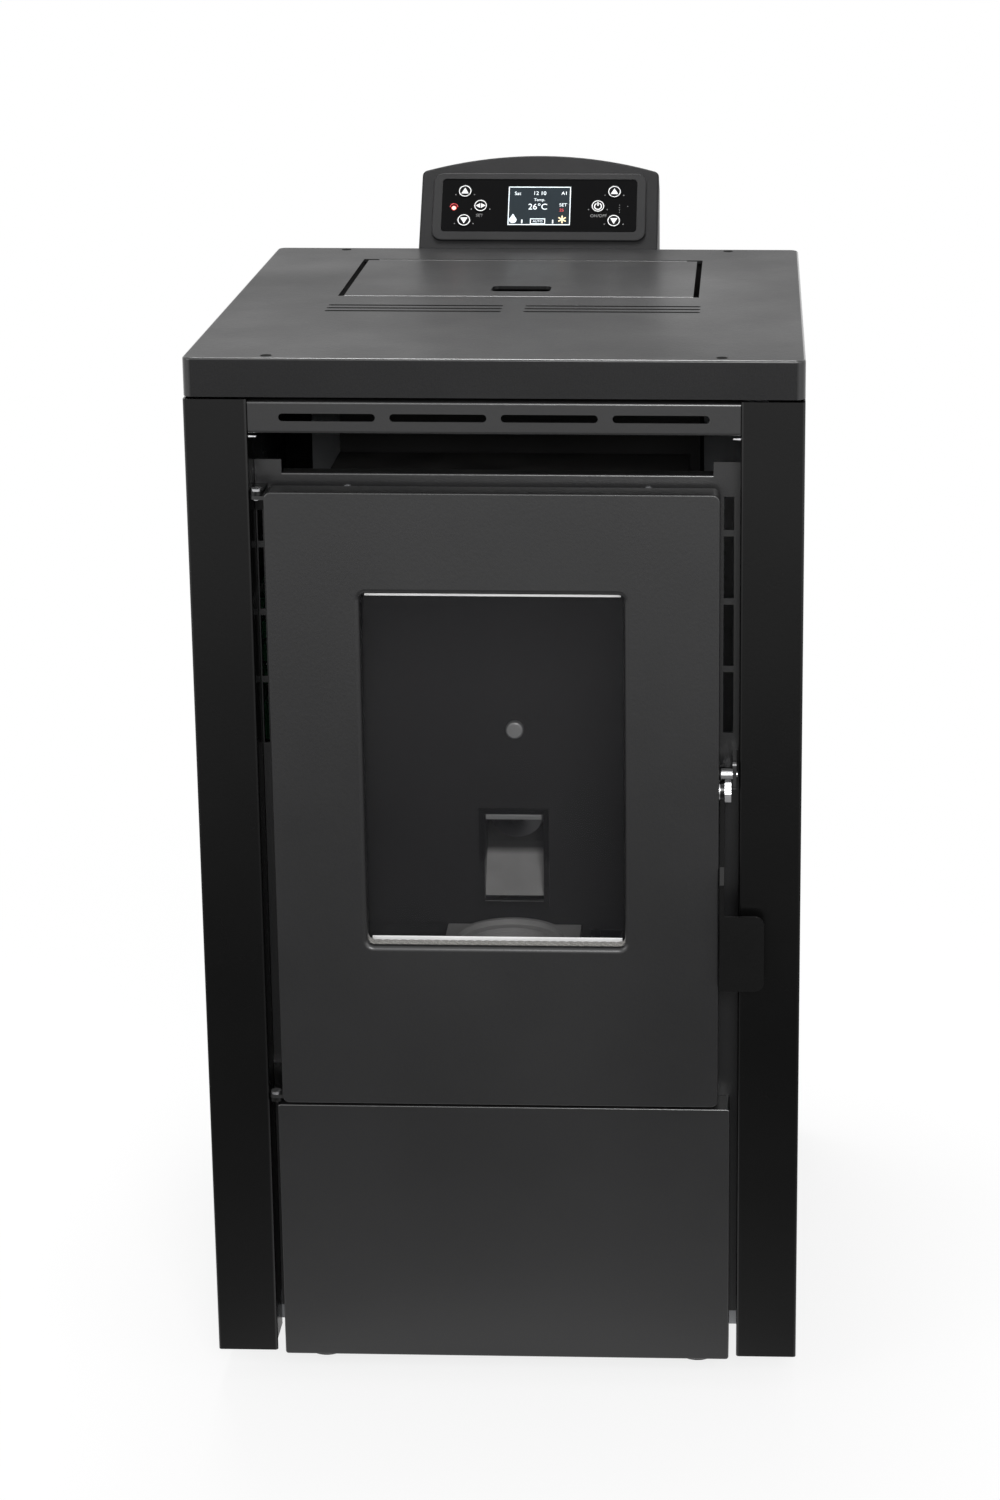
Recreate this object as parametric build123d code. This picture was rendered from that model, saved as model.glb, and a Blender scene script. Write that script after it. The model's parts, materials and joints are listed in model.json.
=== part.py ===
from build123d import *
import math
import os

# Pellet stove, in millimetres. X runs to the right as seen from the front, +Z is up and the floor is Z = 0.
# While the pieces are made, Y = 0 is the plane of the column faces and Y grows towards the back.
# The origin is moved to the middle of the footprint when the pieces are written.

os.makedirs("parts", exist_ok=True)

# Gaps between neighbouring pieces
seat_gap = 0.3          # pieces that lie together without touching
running_gap = 0.05      # radial, shafts and pins that turn in a hole
screw_gap = 0.2         # radial, screws in their holes

# Casing
casing_width = 500.0
casing_depth = 520.0
plate_height = 910.0    # top of the hot plate above the floor
plate_gauge = 3.0
plate_fold = 32.0       # height of the folded edge of the hot plate
plate_corner = 8.0
plate_bend = 2.0
sheet = 1.5
bend = 2.5              # outer radius of a folded sheet
column_width = 51.5
column_return = 28.0
column_bottom = 32.0
column_toe = 10.0       # the return flange ends this much higher than the face
column_seam = 2.0       # between the top of a column and the hot plate
rear_flange = 28.0
panel_inset = 5.0       # rear panel, in front of the back of the hot plate

# Feet and tray
foot_inset = 86.0       # from the side of the casing
foot_front = 66.0
foot_back = 60.0
foot_radius = 19.0
foot_pad = 12.0
foot_hub = 8.0
foot_hub_low = 11.4     # radius of the cone on the pad
foot_hub_high = 7.0
foot_edge = 1.5
foot_stem = 5.0
foot_nut = 9.0
foot_nut_height = 8.0
stem_above = 14.0
tray_height = 46.0
tray_gauge = 2.0
tray_wall = 25.0
tray_vent_length = 180.0
tray_vent_width = 60.0

# Header with the warm air slots
header_height = 27.0
header_face = 2.0       # behind the column faces
header_shelf = 20.0
header_lip = 10.0
air_slot_gap = 11.6     # between two slots
air_slot_height = 6.4
air_slot_margin = 19.3  # beside the row of slots
air_slot_count = 4

# Screws
plate_screw_inset = 67.0
plate_screw_edge = 10.5
plate_screw_head = 4.5
plate_screw_dome = 1.5
plate_screw_round = 1.0
plate_screw_shank = 2.1
plate_screw_length = 12.0
panel_screw_shank = 1.9
panel_screw_head = 4.0
panel_screw_dome = 2.4
panel_screw_length = 10.0
panel_screw_first = 140.0
panel_screw_pitch = 170.0
panel_screw_count = 5

# Embossed lines and lid opening in the hot plate
groove_first = 201.0
groove_pitch = 13.0
groove_count = 3
groove_inner = 9.5
groove_outer = 162.0
groove_width = 5.0
groove_depth = 1.0
lid_width = 309.0
lid_depth = 181.0
lid_front = 271.5
lid_side_gap = 5.0
lid_front_gap = 1.5
lid_fold = 12.0
lid_edge = 1.2
lid_web = 2.0           # sheet between the lid and its knuckle
lid_slot_width = 53.0
lid_slot_depth = 26.0
lid_slot_edge = 24.0    # from the front of the lid
lid_slot_corner = 6.0
knuckle_radius = 2.5
knuckle_gap = 2.7       # hinge axis to the lid in front of it and to the plate behind it
knuckle_half = 49.7
leaf_half = 145.0
leaf_depth = 12.0
leaf_gauge = 1.5
lid_pin_radius = 1.2

# Front frame around the fire opening
frame_gauge = 2.0
frame_bottom = 60.0
frame_drop = 67.0       # under the top of the columns
frame_flange = 14.0     # folded back along the top
frame_bend = 1.8
frame_ear = 11.0
frame_ear_width = 22.0
fire_margin = 48.5      # between a column and the fire opening
fire_bottom = 288.0
fire_drop = 96.0        # under the top of the columns
slot_height = 52.5
slot_pitch = 58.0
slot_count = 4
left_slot_edge = 3.5    # from a column to the middle of the slot
left_slot_width = 4.4
left_slot_drop = 125.0  # from the top of the columns to the bottom of the highest slot
right_slot_edge = 9.5
right_slot_width = 8.4
right_slot_drop = 113.0
top_slot_height = 28.0  # the highest slot on each side is shorter
frame_screw_inset = 27.0
frame_screw_drop = 81.0

# Firebox
fire_centre = -4.0      # line of the chute, the pot and the auger
firebox_gauge = 3.0
firebox_back = 205.0    # front face of the back wall
liner_gauge = 6.0
liner_bottom = 348.0
liner_bolt_shift = 2.0  # right of the line of the chute
liner_bolt_z = 533.0
liner_bolt_tail = 8.0
liner_bolt_head = 8.0
liner_bolt_dome = 6.0
liner_bolt_shank = 4.0
baffle_drop = 42.0      # under the top of the fire opening
baffle_gauge = 4.0
baffle_gap = 30.0       # smoke passage in front of the baffle
ledge = 10.0
ledge_gauge = 3.0

# Burn pot and its seat
pot_y = 137.0
pot_radius = 45.0
pot_foot_radius = 39.0
pot_wall = 4.0
pot_depth = 42.0
pot_flange_radius = 53.0
pot_flange = 4.0
pot_rim = 5.0
pot_rim_wall = 4.0
pot_gap = 0.6           # radial, in the seat
seat_half = 60.0
seat_height = 60.0
seat_gauge = 3.0
pot_hole_radius = 2.5
pot_hole_count = 10
pot_hole_rise = 19.0    # above the foot of the pot
igniter_radius = 5.0
igniter_flange = 10.0
igniter_flange_gauge = 3.0
igniter_tail = 40.0
igniter_tip = 5.0       # from the pot
air_hole_half = 35.0

# Ash tray
ash_margin = 4.0        # beside the tray in the firebox
ash_front = 36.0
ash_back = 196.0
ash_height = 24.0
ash_gap = 2.0

# Combustion air
air_box_height = 55.0
air_box_inset = 24.0    # from the left side of the firebox
air_box_right = 60.0
air_box_front = 80.0
air_box_gauge = 2.0
intake_radius = 25.0
intake_wall = 1.5
intake_inset = 54.0     # from the left side of the firebox
intake_reach = 45.0     # behind the rear panel
panel_hole_gap = 3.0    # radial, round the pipes
pipe_bead = 2.0         # radial, the stop for what slides over a pipe
pipe_bead_width = 4.0

# Chute and auger
chute_half = 28.5
chute_bottom = 368.0
chute_top = 455.0
chute_wall = 2.0
chute_flange = 3.0
chute_throat = 30.0     # from the auger axis to the low end of the chute
auger_slope = 45.0
auger_head_y = 253.0    # where the auger axis meets the chute
auger_head_z = 433.0
auger_length = 225.0
auger_bore = 24.5
auger_wall = 1.5
screw_clearance = 2.0
screw_shaft = 7.0
screw_pitch = 38.0
screw_gauge = 2.5
screw_nose = 2.0        # reaches into the chute
screw_end_gap = 8.0     # between the flight and the gearbox
auger_flange = 36.0
auger_flange_gauge = 4.0
gearbox_size = 58.0
gearbox_length = 30.0
gearbox_corner = 4.0
gearbox_bore = 20.0
auger_can_radius = 25.0
auger_can_length = 38.0

# Hopper
hopper_gauge = 1.5
hopper_rim = 12.0
hopper_back = 473.5
hopper_straight = 640.0
neck_y = 375.0
neck_half = 24.0
neck_z = 385.0
neck_height = 15.0
neck_flange = 10.0
neck_gauge = 2.0

# Smoke path
smoke_x = 62.0
smoke_width = 32.0
smoke_bottom = 180.0
smoke_top = 342.0
smoke_depth = 164.0
smoke_port_height = 38.0
smoke_wall = 2.0
blower_y = 330.0
blower_z = 235.0
blower_radius = 68.0
blower_width = 52.0
blower_wall = 2.0
blower_inlet = 28.0
outlet_length = 72.0
outlet_height = 60.0
wheel_radius = 55.0
wheel_hub = 8.0
wheel_gap = 6.0         # between the wheel and the sides of its housing
wheel_blades = 8
blade_gauge = 2.0
blower_shaft = 4.0
blower_shaft_reach = 27.5
blower_can_radius = 34.0
blower_can_length = 55.0
flue_radius = 40.0
flue_wall = 1.5
flue_plate = 96.0
flue_gauge = 3.0
flue_reach = 75.0       # behind the rear panel

# Warm air fan
drum_y = 126.0
drum_z = 106.0
drum_radius = 38.0
drum_length = 250.0
drum_left = -146.0
drum_disc = 2.0
drum_blades = 16
drum_blade_depth = 8.0
drum_shaft = 5.0
fan_wall = 1.5
fan_margin = 9.0        # between the drum and its case
fan_mouth = 70.0
fan_outlet = 42.0
fan_can_radius = 30.0
fan_can_length = 55.0
fan_shaft_reach = 30.0
fan_cradle_half = 18.0   # foot of the motor
fan_cradle_inset = 5.0

# Electrics
board_height = 160.0
board_depth = 120.0
board_y = 330.0
board_z = 560.0
board_gauge = 1.6
board_standoff = 8.0
standoff_radius = 3.0
standoff_edge = 8.0
coil_width = 40.0       # transformer on the board
coil_height = 36.0
coil_depth = 30.0
relay_width = 20.0
relay_height = 16.0
relay_pitch = 22.0
relay_count = 4
terminal_height = 12.0
chip_depth = 4.0
part_edge = 12.0        # from the edge of the board to the parts on it
inlet_inset = 70.0      # from the side of the casing
inlet_z = 110.0
inlet_width = 48.0
inlet_height = 28.0
inlet_gauge = 3.0
socket_width = 24.0
socket_height = 16.0
socket_depth = 16.0
socket_wall = 3.7
socket_floor = 3.0
socket_pin_reach = 10.0
socket_pin_pitch = 7.0
socket_pin_shift = 2.0  # outer pins above the middle, middle pin below it
socket_pin_width = 2.0
socket_pin_height = 4.0
vent_rows = 6
vent_pitch = 14.0
vent_low = 560.0

# Control console
console_width = 230.0
console_lean = 37.0     # of the face, from the vertical
console_corner = 84.0   # up the face to the corners
console_arch = 102.0    # up the face to the middle of the arch
console_reach = 70.0    # behind the hot plate
console_foot = 60.0     # below the top of the hot plate
console_wall = 2.5
console_round = 6.0
console_edge = 2.0      # softened edge round the face
fascia_width = 206.0
fascia_height = 73.0
fascia_low = 7.6
fascia_gauge = 3.0
fascia_corner = 10.0
fascia_edge = 1.0
insert_width = 189.0
insert_height = 57.6
insert_depth = 1.2
insert_corner = 4.0
display_width = 61.0
display_height = 42.5
display_low = 24.0
key_radius = 6.85
key_gap = 0.35
key_collar = 8.2
key_collar_gauge = 1.5
key_edge = 0.8
key_rise = 3.2          # above the console face
key_outer_x = 72.4
key_inner_x = 56.8
key_middle = 44.7       # up the face to the middle row
key_row = 15.8

# Door
door_left_gap = 11.5    # between a column and the door
door_right_gap = 16.5
door_bottom = 266.0
door_drop = 76.0        # under the top of the columns
door_proud = 3.0        # in front of the column faces
door_gauge = 1.5
door_depth = 23.0
door_corner = 6.0
door_edge = 1.2
window_left = 76.0      # from the left edge of the door
window_right = 78.0     # from the right edge of the door
window_low = 143.0      # from the bottom edge of the door
window_high = 85.0      # from the top edge of the door
window_corner = 5.0
window_roll = 5.0       # depth of the rolled edge of the window
window_bend = 4.5
rope_radius = 3.5
rope_outset = 4.0       # rope axis outside the window edge
glass_gauge = 4.0
glass_lap = 10.0
inner_gauge = 2.0
inner_lap = 5.0
collar_gauge = 2.0
seal_width = 9.0
seal_outset = 5.5       # seal axis outside the fire opening
seal_round = 2.5
seal_corner = 8.0
clip_width = 14.0
clip_gauge = 1.5
clip_reach = 18.0
clip_spread = 90.0      # side clips above and below the middle of the window
clip_screw_reach = 6.0

# Door hinges
hinge_gap = 6.0         # hinge axis left of the door
hinge_y = 3.0
hinge_pin = 3.0
hinge_head = 4.4
hinge_head_height = 2.0
hinge_pin_tail = 1.0
hinge_eye = 5.0
hinge_gauge = 3.2
hinge_foot = 22.0
hinge_foot_gauge = 2.5

# Latch
lever_gap = 1.0         # beside the door
lever_gauge = 3.5
pivot_y = 6.5
pivot_z = 546.0
pivot_radius = 5.0
pivot_head = 9.8
pivot_head_gauge = 5.2
pivot_nut = 7.0
pivot_nut_gauge = 5.0
pivot_tail = 2.0
washer_radius = 8.8
washer_gauge = 0.8
lever_hub = 9.0
lever_arm = 12.0
lever_knee_z = 476.0
lever_front = 10.0      # back of the finger tab in front of the column faces
lever_leg = 9.0
lever_taper = 3.0       # the arm narrows from its hub to its knee
tab_gauge = 3.0
tab_width = 37.0
tab_top = 442.0
tab_bottom = 376.0
tab_corner = 8.0
catch_rise = 15.0       # catch pin above the pivot
catch_forward = 2.0     # catch pin in front of the pivot
catch_radius = 4.5
catch_tenon = 2.5       # turned down end, riveted in the bracket
catch_tip = 1.5         # rounding of its free end
catch_head_gap = 1.5    # between the bolt head and the bracket
catch_nose = 6.8        # bracket in front of the middle of the pin
catch_plate = 3.0
catch_plate_height = 26.0
hook_gap = 0.5
hook_gauge = 5.0
hook_rise = 20.0

# Lower panel
lower_gap_side = 6.5    # between a column and the lower panel
lower_bottom = 28.0
lower_gap = 3.5         # under the door
lower_face = 1.0        # behind the column faces
lower_edge = 1.2

# Worked out from the sizes above
half_width = casing_width / 2
column_inner = half_width - column_width
column_top = plate_height - plate_fold - column_seam
foot_x = half_width - foot_inset
plate_screw_x = half_width - plate_screw_inset
inlet_x = inlet_inset - half_width
fire_half = column_inner - fire_margin
fire_top = column_top - fire_drop
baffle_height = fire_top - baffle_drop
ash_half = fire_half - ash_margin
air_box_left = air_box_inset - fire_half
intake_x = intake_inset - fire_half
frame_top = column_top - frame_drop
frame_screw_x = fire_half - frame_screw_inset
frame_screw_z = column_top - frame_screw_drop
left_slot_x = left_slot_edge - column_inner
left_slot_low = column_top - left_slot_drop
right_slot_x = column_inner - right_slot_edge
right_slot_low = column_top - right_slot_drop
lower_half = column_inner - lower_gap_side
air_slot_pitch = 2 * (column_inner - air_slot_margin) / air_slot_count
air_slot_length = air_slot_pitch - air_slot_gap
plate_under = plate_height - plate_gauge
panel_y = casing_depth - panel_inset
panel_face = panel_y - sheet
tray_top = tray_height + tray_gauge
frame_y = column_return
frame_back = frame_y + frame_gauge
header_top = column_top - sheet
lid_half = lid_width / 2
lid_back = lid_front + lid_depth
opening_half = lid_half + lid_side_gap
opening_front = lid_front - lid_front_gap
lid_axis_y = lid_back + knuckle_gap
lid_axis_z = plate_height - knuckle_radius
opening_back = lid_axis_y + knuckle_gap
firebox_rear = firebox_back + firebox_gauge
floor_under = fire_bottom - firebox_gauge
liner_face = firebox_back - seat_gap - liner_gauge
liner_bolt_x = fire_centre + liner_bolt_shift
seat_top = fire_bottom + seat_height
pot_foot_z = seat_top - pot_depth
pot_top = seat_top + seat_gap + pot_flange
igniter_z = pot_foot_z + pot_hole_rise
intake_z = floor_under - air_box_height / 2
slope = math.radians(auger_slope)
auger_dir = Vector(0, math.cos(slope), -math.sin(slope))
auger_up = Vector(0, math.sin(slope), math.cos(slope))
auger_head = Vector(fire_centre, auger_head_y, auger_head_z)
auger_tail = auger_head + auger_dir * auger_length
neck_axis_z = auger_head_z - (neck_y - auger_head_y) * math.tan(slope)
neck_outer = neck_half + neck_gauge
screw_radius = auger_bore - screw_clearance
smoke_right = smoke_x + smoke_width
smoke_back = firebox_rear + smoke_depth
blower_right = smoke_right + blower_width
flue_x = smoke_right + blower_width / 2
flue_y = blower_y + outlet_length
flue_z = blower_z - blower_radius + outlet_height / 2
drum_right = drum_left + drum_length
fan_left = drum_left - fan_margin
fan_right = drum_right + fan_margin
console_y = casing_depth + seat_gap
console_back = casing_depth + console_reach
lean = math.radians(console_lean)
console_face = Plane((0, console_y, plate_height), (1, 0, 0), (0, -math.cos(lean), math.sin(lean)))
fascia_middle = fascia_low + fascia_height / 2
display_middle = display_low + display_height / 2
door_left = door_left_gap - column_inner
door_right = column_inner - door_right_gap
door_top = column_top - door_drop
door_front = -door_proud
door_back = door_depth - door_proud
hinge_x = door_left - hinge_gap
window_width = door_right - door_left - window_left - window_right
window_height = door_top - door_bottom - window_low - window_high
window_x = door_left + window_left + window_width / 2
window_z = door_bottom + window_low + window_height / 2
rope_y = door_front + window_roll + rope_radius
glass_y = rope_y + rope_radius + seat_gap
glass_back = glass_y + glass_gauge
lever_x = door_right + lever_gap
lever_right = lever_x + lever_gauge
catch_x = lever_right + pivot_head_gauge + catch_head_gap
catch_y = pivot_y - catch_forward
catch_z = pivot_z + catch_rise
front_y = -(lever_front + tab_gauge)
rear_y = max(console_back, panel_y + flue_reach)
centre_y = (front_y + rear_y) / 2


def block(x0, x1, y0, y1, z0, z1):
    middle = Pos((x0 + x1) / 2, (y0 + y1) / 2, (z0 + z1) / 2)
    return middle * Box(abs(x1 - x0), abs(y1 - y0), abs(z1 - z0))


def rod(radius, start, end):
    start = Vector(*start)
    end = Vector(*end)
    base = Plane(origin=start, z_dir=end - start)
    return base * Cylinder(radius, (end - start).length, align=(Align.CENTER, Align.CENTER, Align.MIN))


def ring(radius, bore, start, end):
    return rod(radius, start, end) - rod(bore, start, end)


def rounded(x, z, width, height, corner, y0, y1):
    """A slab standing in X and Z with rounded corners, between two depths."""
    outline = Plane((x, y0, z), (1, 0, 0), (0, -1, 0)) * RectangleRounded(width, height, corner)
    return extrude(outline, y0 - y1)


def round_slot(length, height, x, y, z, reach):
    """A hole with round ends, long in X, that reaches both ways along Y."""
    outline = Plane((x, y, z), (1, 0, 0), (0, -1, 0)) * SlotOverall(length, height)
    return extrude(outline, reach, both=True)


def side_profile(points, x0, x1):
    """A polygon of (y, z) points, extruded between two x."""
    face = Plane((x0, 0, 0), (0, 1, 0), (1, 0, 0)) * make_face(Polyline(*points, close=True))
    return extrude(face, x1 - x0)


def folded(points, gauge, side=Side.LEFT):
    """Section of a sheet folded along its outer line."""
    line = FilletPolyline(*points, radius=bend)
    return make_face(offset(line, gauge, side=side))


# Casing

def panel_screw_places():
    x = half_width - rear_flange / 2
    levels = [panel_screw_first + step * panel_screw_pitch for step in range(panel_screw_count)]
    return [(side * x, z) for side in (-1, 1) for z in levels if z < column_top - panel_screw_head]


def side_panels():
    outline = folded(
        [
            (column_inner, column_return),
            (column_inner, 0),
            (half_width, 0),
            (half_width, panel_face),
            (half_width - rear_flange, panel_face),
        ],
        sheet,
    )
    right = Pos(0, 0, column_bottom) * extrude(outline, column_top - column_bottom)
    toe = column_bottom + column_toe
    right -= block(column_inner - 1, column_inner + bend, bend, column_return + 1, column_bottom - 1, toe)
    for x, z in panel_screw_places():
        right -= rod(panel_screw_shank + screw_gap, (x, panel_face - 2 * sheet, z), (x, panel_y, z))
    return mirror(right, Plane.YZ), right


def rear_panel():
    side = half_width - plate_corner - seat_gap
    top = plate_under - sheet
    panel = block(-side, side, panel_face, panel_y, tray_top, top)
    shelf_front = casing_depth - plate_screw_edge - header_shelf / 2
    panel += block(-column_inner, column_inner, shelf_front, panel_y, top, plate_under)
    screw_y = casing_depth - plate_screw_edge
    for x in (-plate_screw_x, plate_screw_x):
        panel -= rod(plate_screw_shank + screw_gap, (x, screw_y, top - 1), (x, screw_y, plate_under + 1))
    for x, z, radius in ((flue_x, flue_z, flue_radius), (intake_x, intake_z, intake_radius)):
        panel -= rod(radius + panel_hole_gap, (x, panel_face - 1, z), (x, panel_y + 1, z))
    half_x = socket_width / 2 + socket_wall + seat_gap
    half_z = socket_height / 2 + socket_wall / 2 + seat_gap
    panel -= block(
        inlet_x - half_x, inlet_x + half_x, panel_face - 1, panel_y + 1, inlet_z - half_z, inlet_z + half_z
    )
    for row in range(vent_rows):
        for x in (-air_slot_pitch, 0, air_slot_pitch):
            panel -= round_slot(air_slot_length, air_slot_height, x, panel_y, vent_low + row * vent_pitch, 3)
    for x, z in panel_screw_places():
        panel -= rod(panel_screw_shank + screw_gap, (x, panel_face - 1, z), (x, panel_y + 1, z))
    return panel


def casing_screws():
    screws = []
    for x, z in panel_screw_places():
        shank = rod(panel_screw_shank, (x, panel_y - panel_screw_length, z), (x, panel_y, z))
        screws.append(shank + rod(panel_screw_head, (x, panel_y, z), (x, panel_y + panel_screw_dome, z)))
    for x in (-frame_screw_x, frame_screw_x):
        z = frame_screw_z
        shank = rod(panel_screw_shank, (x, frame_y, z), (x, frame_y + panel_screw_length, z))
        screws.append(shank + rod(panel_screw_head, (x, frame_y - panel_screw_dome, z), (x, frame_y, z)))
    return screws


def foot_places():
    return [(x, y) for x in (-foot_x, foot_x) for y in (foot_front, casing_depth - foot_back)]


def base_tray():
    side = half_width - sheet - seat_gap
    front = frame_back + seat_gap
    back = panel_face - sheet - seat_gap
    wall = tray_gauge
    tray = block(-side, side, front, back, tray_height, tray_top + tray_wall)
    tray -= block(-side + wall, side - wall, front + wall, back - wall, tray_top, tray_top + tray_wall + 1)
    for x, y in foot_places():
        tray -= rod(foot_stem + screw_gap, (x, y, tray_height - 1), (x, y, tray_top + 1))
    vent = drum_y + 2 * drum_radius
    half = tray_vent_length / 2
    return tray - block(-half, half, vent, vent + tray_vent_width, tray_height - 1, tray_top + 1)


def levelling_feet():
    feet = []
    for x, y in foot_places():
        pad = Pos(x, y, foot_pad / 2) * Cylinder(foot_radius, foot_pad)
        pad = fillet(pad.edges().filter_by(GeomType.CIRCLE), foot_edge)
        hub = Pos(x, y, foot_pad + foot_hub / 2) * Cone(foot_hub_low, foot_hub_high, foot_hub)
        stem = rod(foot_stem, (x, y, foot_pad), (x, y, tray_top + stem_above))
        nut = extrude(Pos(x, y, tray_height - foot_nut_height) * RegularPolygon(foot_nut, 6), foot_nut_height)
        nut -= rod(foot_stem + running_gap, (x, y, 0), (x, y, tray_top))
        feet += [pad + hub + stem, nut]
    return feet


def plate_screw_places():
    rows = (plate_screw_edge, casing_depth - plate_screw_edge)
    return [(x, y) for x in (-plate_screw_x, plate_screw_x) for y in rows]


def hot_plate():
    low = plate_height - plate_fold
    plate = block(-half_width, half_width, 0, casing_depth, low, plate_height)
    plate = fillet(plate.edges().filter_by(Axis.Z), plate_corner)
    plate = fillet(plate.edges().group_by(Axis.Z)[-1], plate_bend)
    inner = half_width - plate_gauge
    hollow = block(-inner, inner, plate_gauge, casing_depth - plate_gauge, low - 1, plate_under)
    plate -= fillet(hollow.edges().filter_by(Axis.Z), max(plate_corner - plate_gauge, 1))
    top = plate_height + 1
    plate -= block(-opening_half, opening_half, opening_front, opening_back, plate_under - 1, top)
    length = groove_outer - groove_inner
    for row in range(groove_count):
        for x in (-(groove_inner + length / 2), groove_inner + length / 2):
            place = Pos(x, groove_first + row * groove_pitch, plate_height - groove_depth)
            plate -= extrude(place * SlotOverall(length, groove_width), groove_depth + 1)
    for x, y in plate_screw_places():
        plate -= rod(plate_screw_head + screw_gap, (x, y, plate_height - plate_screw_dome), (x, y, top))
        plate -= rod(plate_screw_shank + screw_gap, (x, y, plate_under - 1), (x, y, plate_height))
    return plate


def top_plate_screws():
    screws = []
    for x, y in plate_screw_places():
        seat = plate_height - plate_screw_dome
        head = rod(plate_screw_head, (x, y, seat), (x, y, plate_height))
        head = fillet(head.edges().group_by(Axis.Z)[-1], plate_screw_round)
        screws.append(head + rod(plate_screw_shank, (x, y, seat - plate_screw_length), (x, y, seat)))
    return screws


def header_louvre():
    low = column_top - sheet - header_height
    back = plate_screw_edge + header_shelf / 2
    points = [
        (header_face + header_lip, low),
        (header_face, low),
        (header_face, header_top),
        (back, header_top),
        (back, plate_under - sheet),
        (plate_gauge + sheet, plate_under - sheet),
    ]
    half = column_inner - seat_gap
    section = Plane((-half, 0, 0), (0, 1, 0), (1, 0, 0)) * folded(points, sheet, Side.RIGHT)
    header = extrude(section, 2 * half)
    slot_z = (low + header_top) / 2
    first = -(air_slot_count - 1) / 2 * air_slot_pitch
    for step in range(air_slot_count):
        x = first + step * air_slot_pitch
        header -= round_slot(air_slot_length, air_slot_height, x, header_face, slot_z, 2 * sheet)
    for x in (-plate_screw_x, plate_screw_x):
        low, high = (x, plate_screw_edge, plate_under - 2 * sheet), (x, plate_screw_edge, plate_under + 1)
        header -= rod(plate_screw_shank + screw_gap, low, high)
    return header


def hopper_lid():
    low = plate_height - lid_fold
    lid = block(-lid_half, lid_half, lid_front, lid_back, low, plate_height)
    front = lid.edges().group_by(Axis.Y)[0].group_by(Axis.Z)[-1]
    lid = fillet(front, lid_edge)
    inner = lid_half - sheet
    lid -= block(-inner, inner, lid_front + sheet, lid_back + 1, low - 1, plate_under)
    slot_y = lid_front + lid_slot_edge + lid_slot_depth / 2
    opening = RectangleRounded(lid_slot_width, lid_slot_depth, lid_slot_corner)
    lid -= extrude(Pos(0, slot_y, plate_under - 1) * opening, plate_gauge + 2)
    axis = lid_axis_z
    lid += rod(knuckle_radius, (-knuckle_half, lid_axis_y, axis), (knuckle_half, lid_axis_y, axis))
    lid += block(-knuckle_half, knuckle_half, lid_back - 1, lid_axis_y, plate_under, plate_under + lid_web)
    bore = lid_pin_radius + running_gap
    return lid - rod(bore, (-knuckle_half - 1, lid_axis_y, axis), (knuckle_half + 1, lid_axis_y, axis))


def lid_hinge_bracket():
    low = plate_under - leaf_gauge
    leaf = block(-leaf_half, leaf_half, opening_back, opening_back + leaf_depth, low, plate_under)
    inside = knuckle_half + seat_gap
    for x0, x1 in ((-leaf_half, -inside), (inside, leaf_half)):
        leaf += rod(knuckle_radius, (x0, lid_axis_y, lid_axis_z), (x1, lid_axis_y, lid_axis_z))
        leaf += block(x0, x1, lid_axis_y, opening_back + 1, low, plate_under)
    reach = leaf_half + 1
    bore = rod(lid_pin_radius + running_gap, (-reach, lid_axis_y, lid_axis_z), (reach, lid_axis_y, lid_axis_z))
    return leaf - bore


def lid_hinge_pin():
    return rod(lid_pin_radius, (-leaf_half, lid_axis_y, lid_axis_z), (leaf_half, lid_axis_y, lid_axis_z))


def front_frame():
    side = column_inner - seat_gap
    frame = block(-side, side, frame_y, frame_back, frame_bottom, frame_top)
    for x in (-side, side - frame_ear_width):
        frame += block(x, x + frame_ear_width, frame_y, frame_back, frame_top - 1, frame_top + frame_ear)
    edge = side - frame_ear_width
    flange = block(-edge, edge, frame_y, frame_y + frame_flange, frame_top - frame_gauge, frame_top)
    frame += flange
    bend_line = frame.edges().filter_by(Axis.X).filter_by(lambda line: line.length > edge)
    frame = fillet(bend_line.group_by(Axis.Z)[-1].group_by(Axis.Y)[0], frame_bend)
    frame -= block(-fire_half, fire_half, frame_y - 1, frame_back + 1, fire_bottom, fire_top)
    left_row = (left_slot_x, left_slot_width, left_slot_low)
    right_row = (right_slot_x, right_slot_width, right_slot_low)
    for x, width, low in (left_row, right_row):
        for step in range(slot_count):
            height = slot_height if step else top_slot_height
            z = low - step * slot_pitch
            frame -= block(x - width / 2, x + width / 2, frame_y - 1, frame_back + 1, z, z + height)
    for x in (-frame_screw_x, frame_screw_x):
        z = frame_screw_z
        frame -= rod(panel_screw_shank + screw_gap, (x, frame_y - 1, z), (x, frame_back + 1, z))
    return frame + catch_bracket()


def catch_bracket():
    half = catch_plate_height / 2
    right = catch_x + catch_plate
    bracket = block(catch_x, right, catch_y - catch_nose, frame_y + 1, catch_z - half, catch_z + half)
    bracket = fillet(bracket.edges().filter_by(Axis.X).group_by(Axis.Y)[0], catch_radius)
    bore = catch_tenon + running_gap
    return bracket - rod(bore, (catch_x - 1, catch_y, catch_z), (right + 1, catch_y, catch_z))


def lower_panel():
    top = door_bottom - lower_gap
    back = frame_y - seat_gap
    panel = block(-lower_half, lower_half, lower_face, back, lower_bottom, top)
    panel = fillet(panel.edges().filter_by(Axis.Y), bend)
    panel = fillet(panel.edges().group_by(Axis.Y)[0], lower_edge)
    inner = lower_half - sheet
    return panel - block(-inner, inner, lower_face + sheet, back + 1, lower_bottom + sheet, top - sheet)


# Firebox

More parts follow.
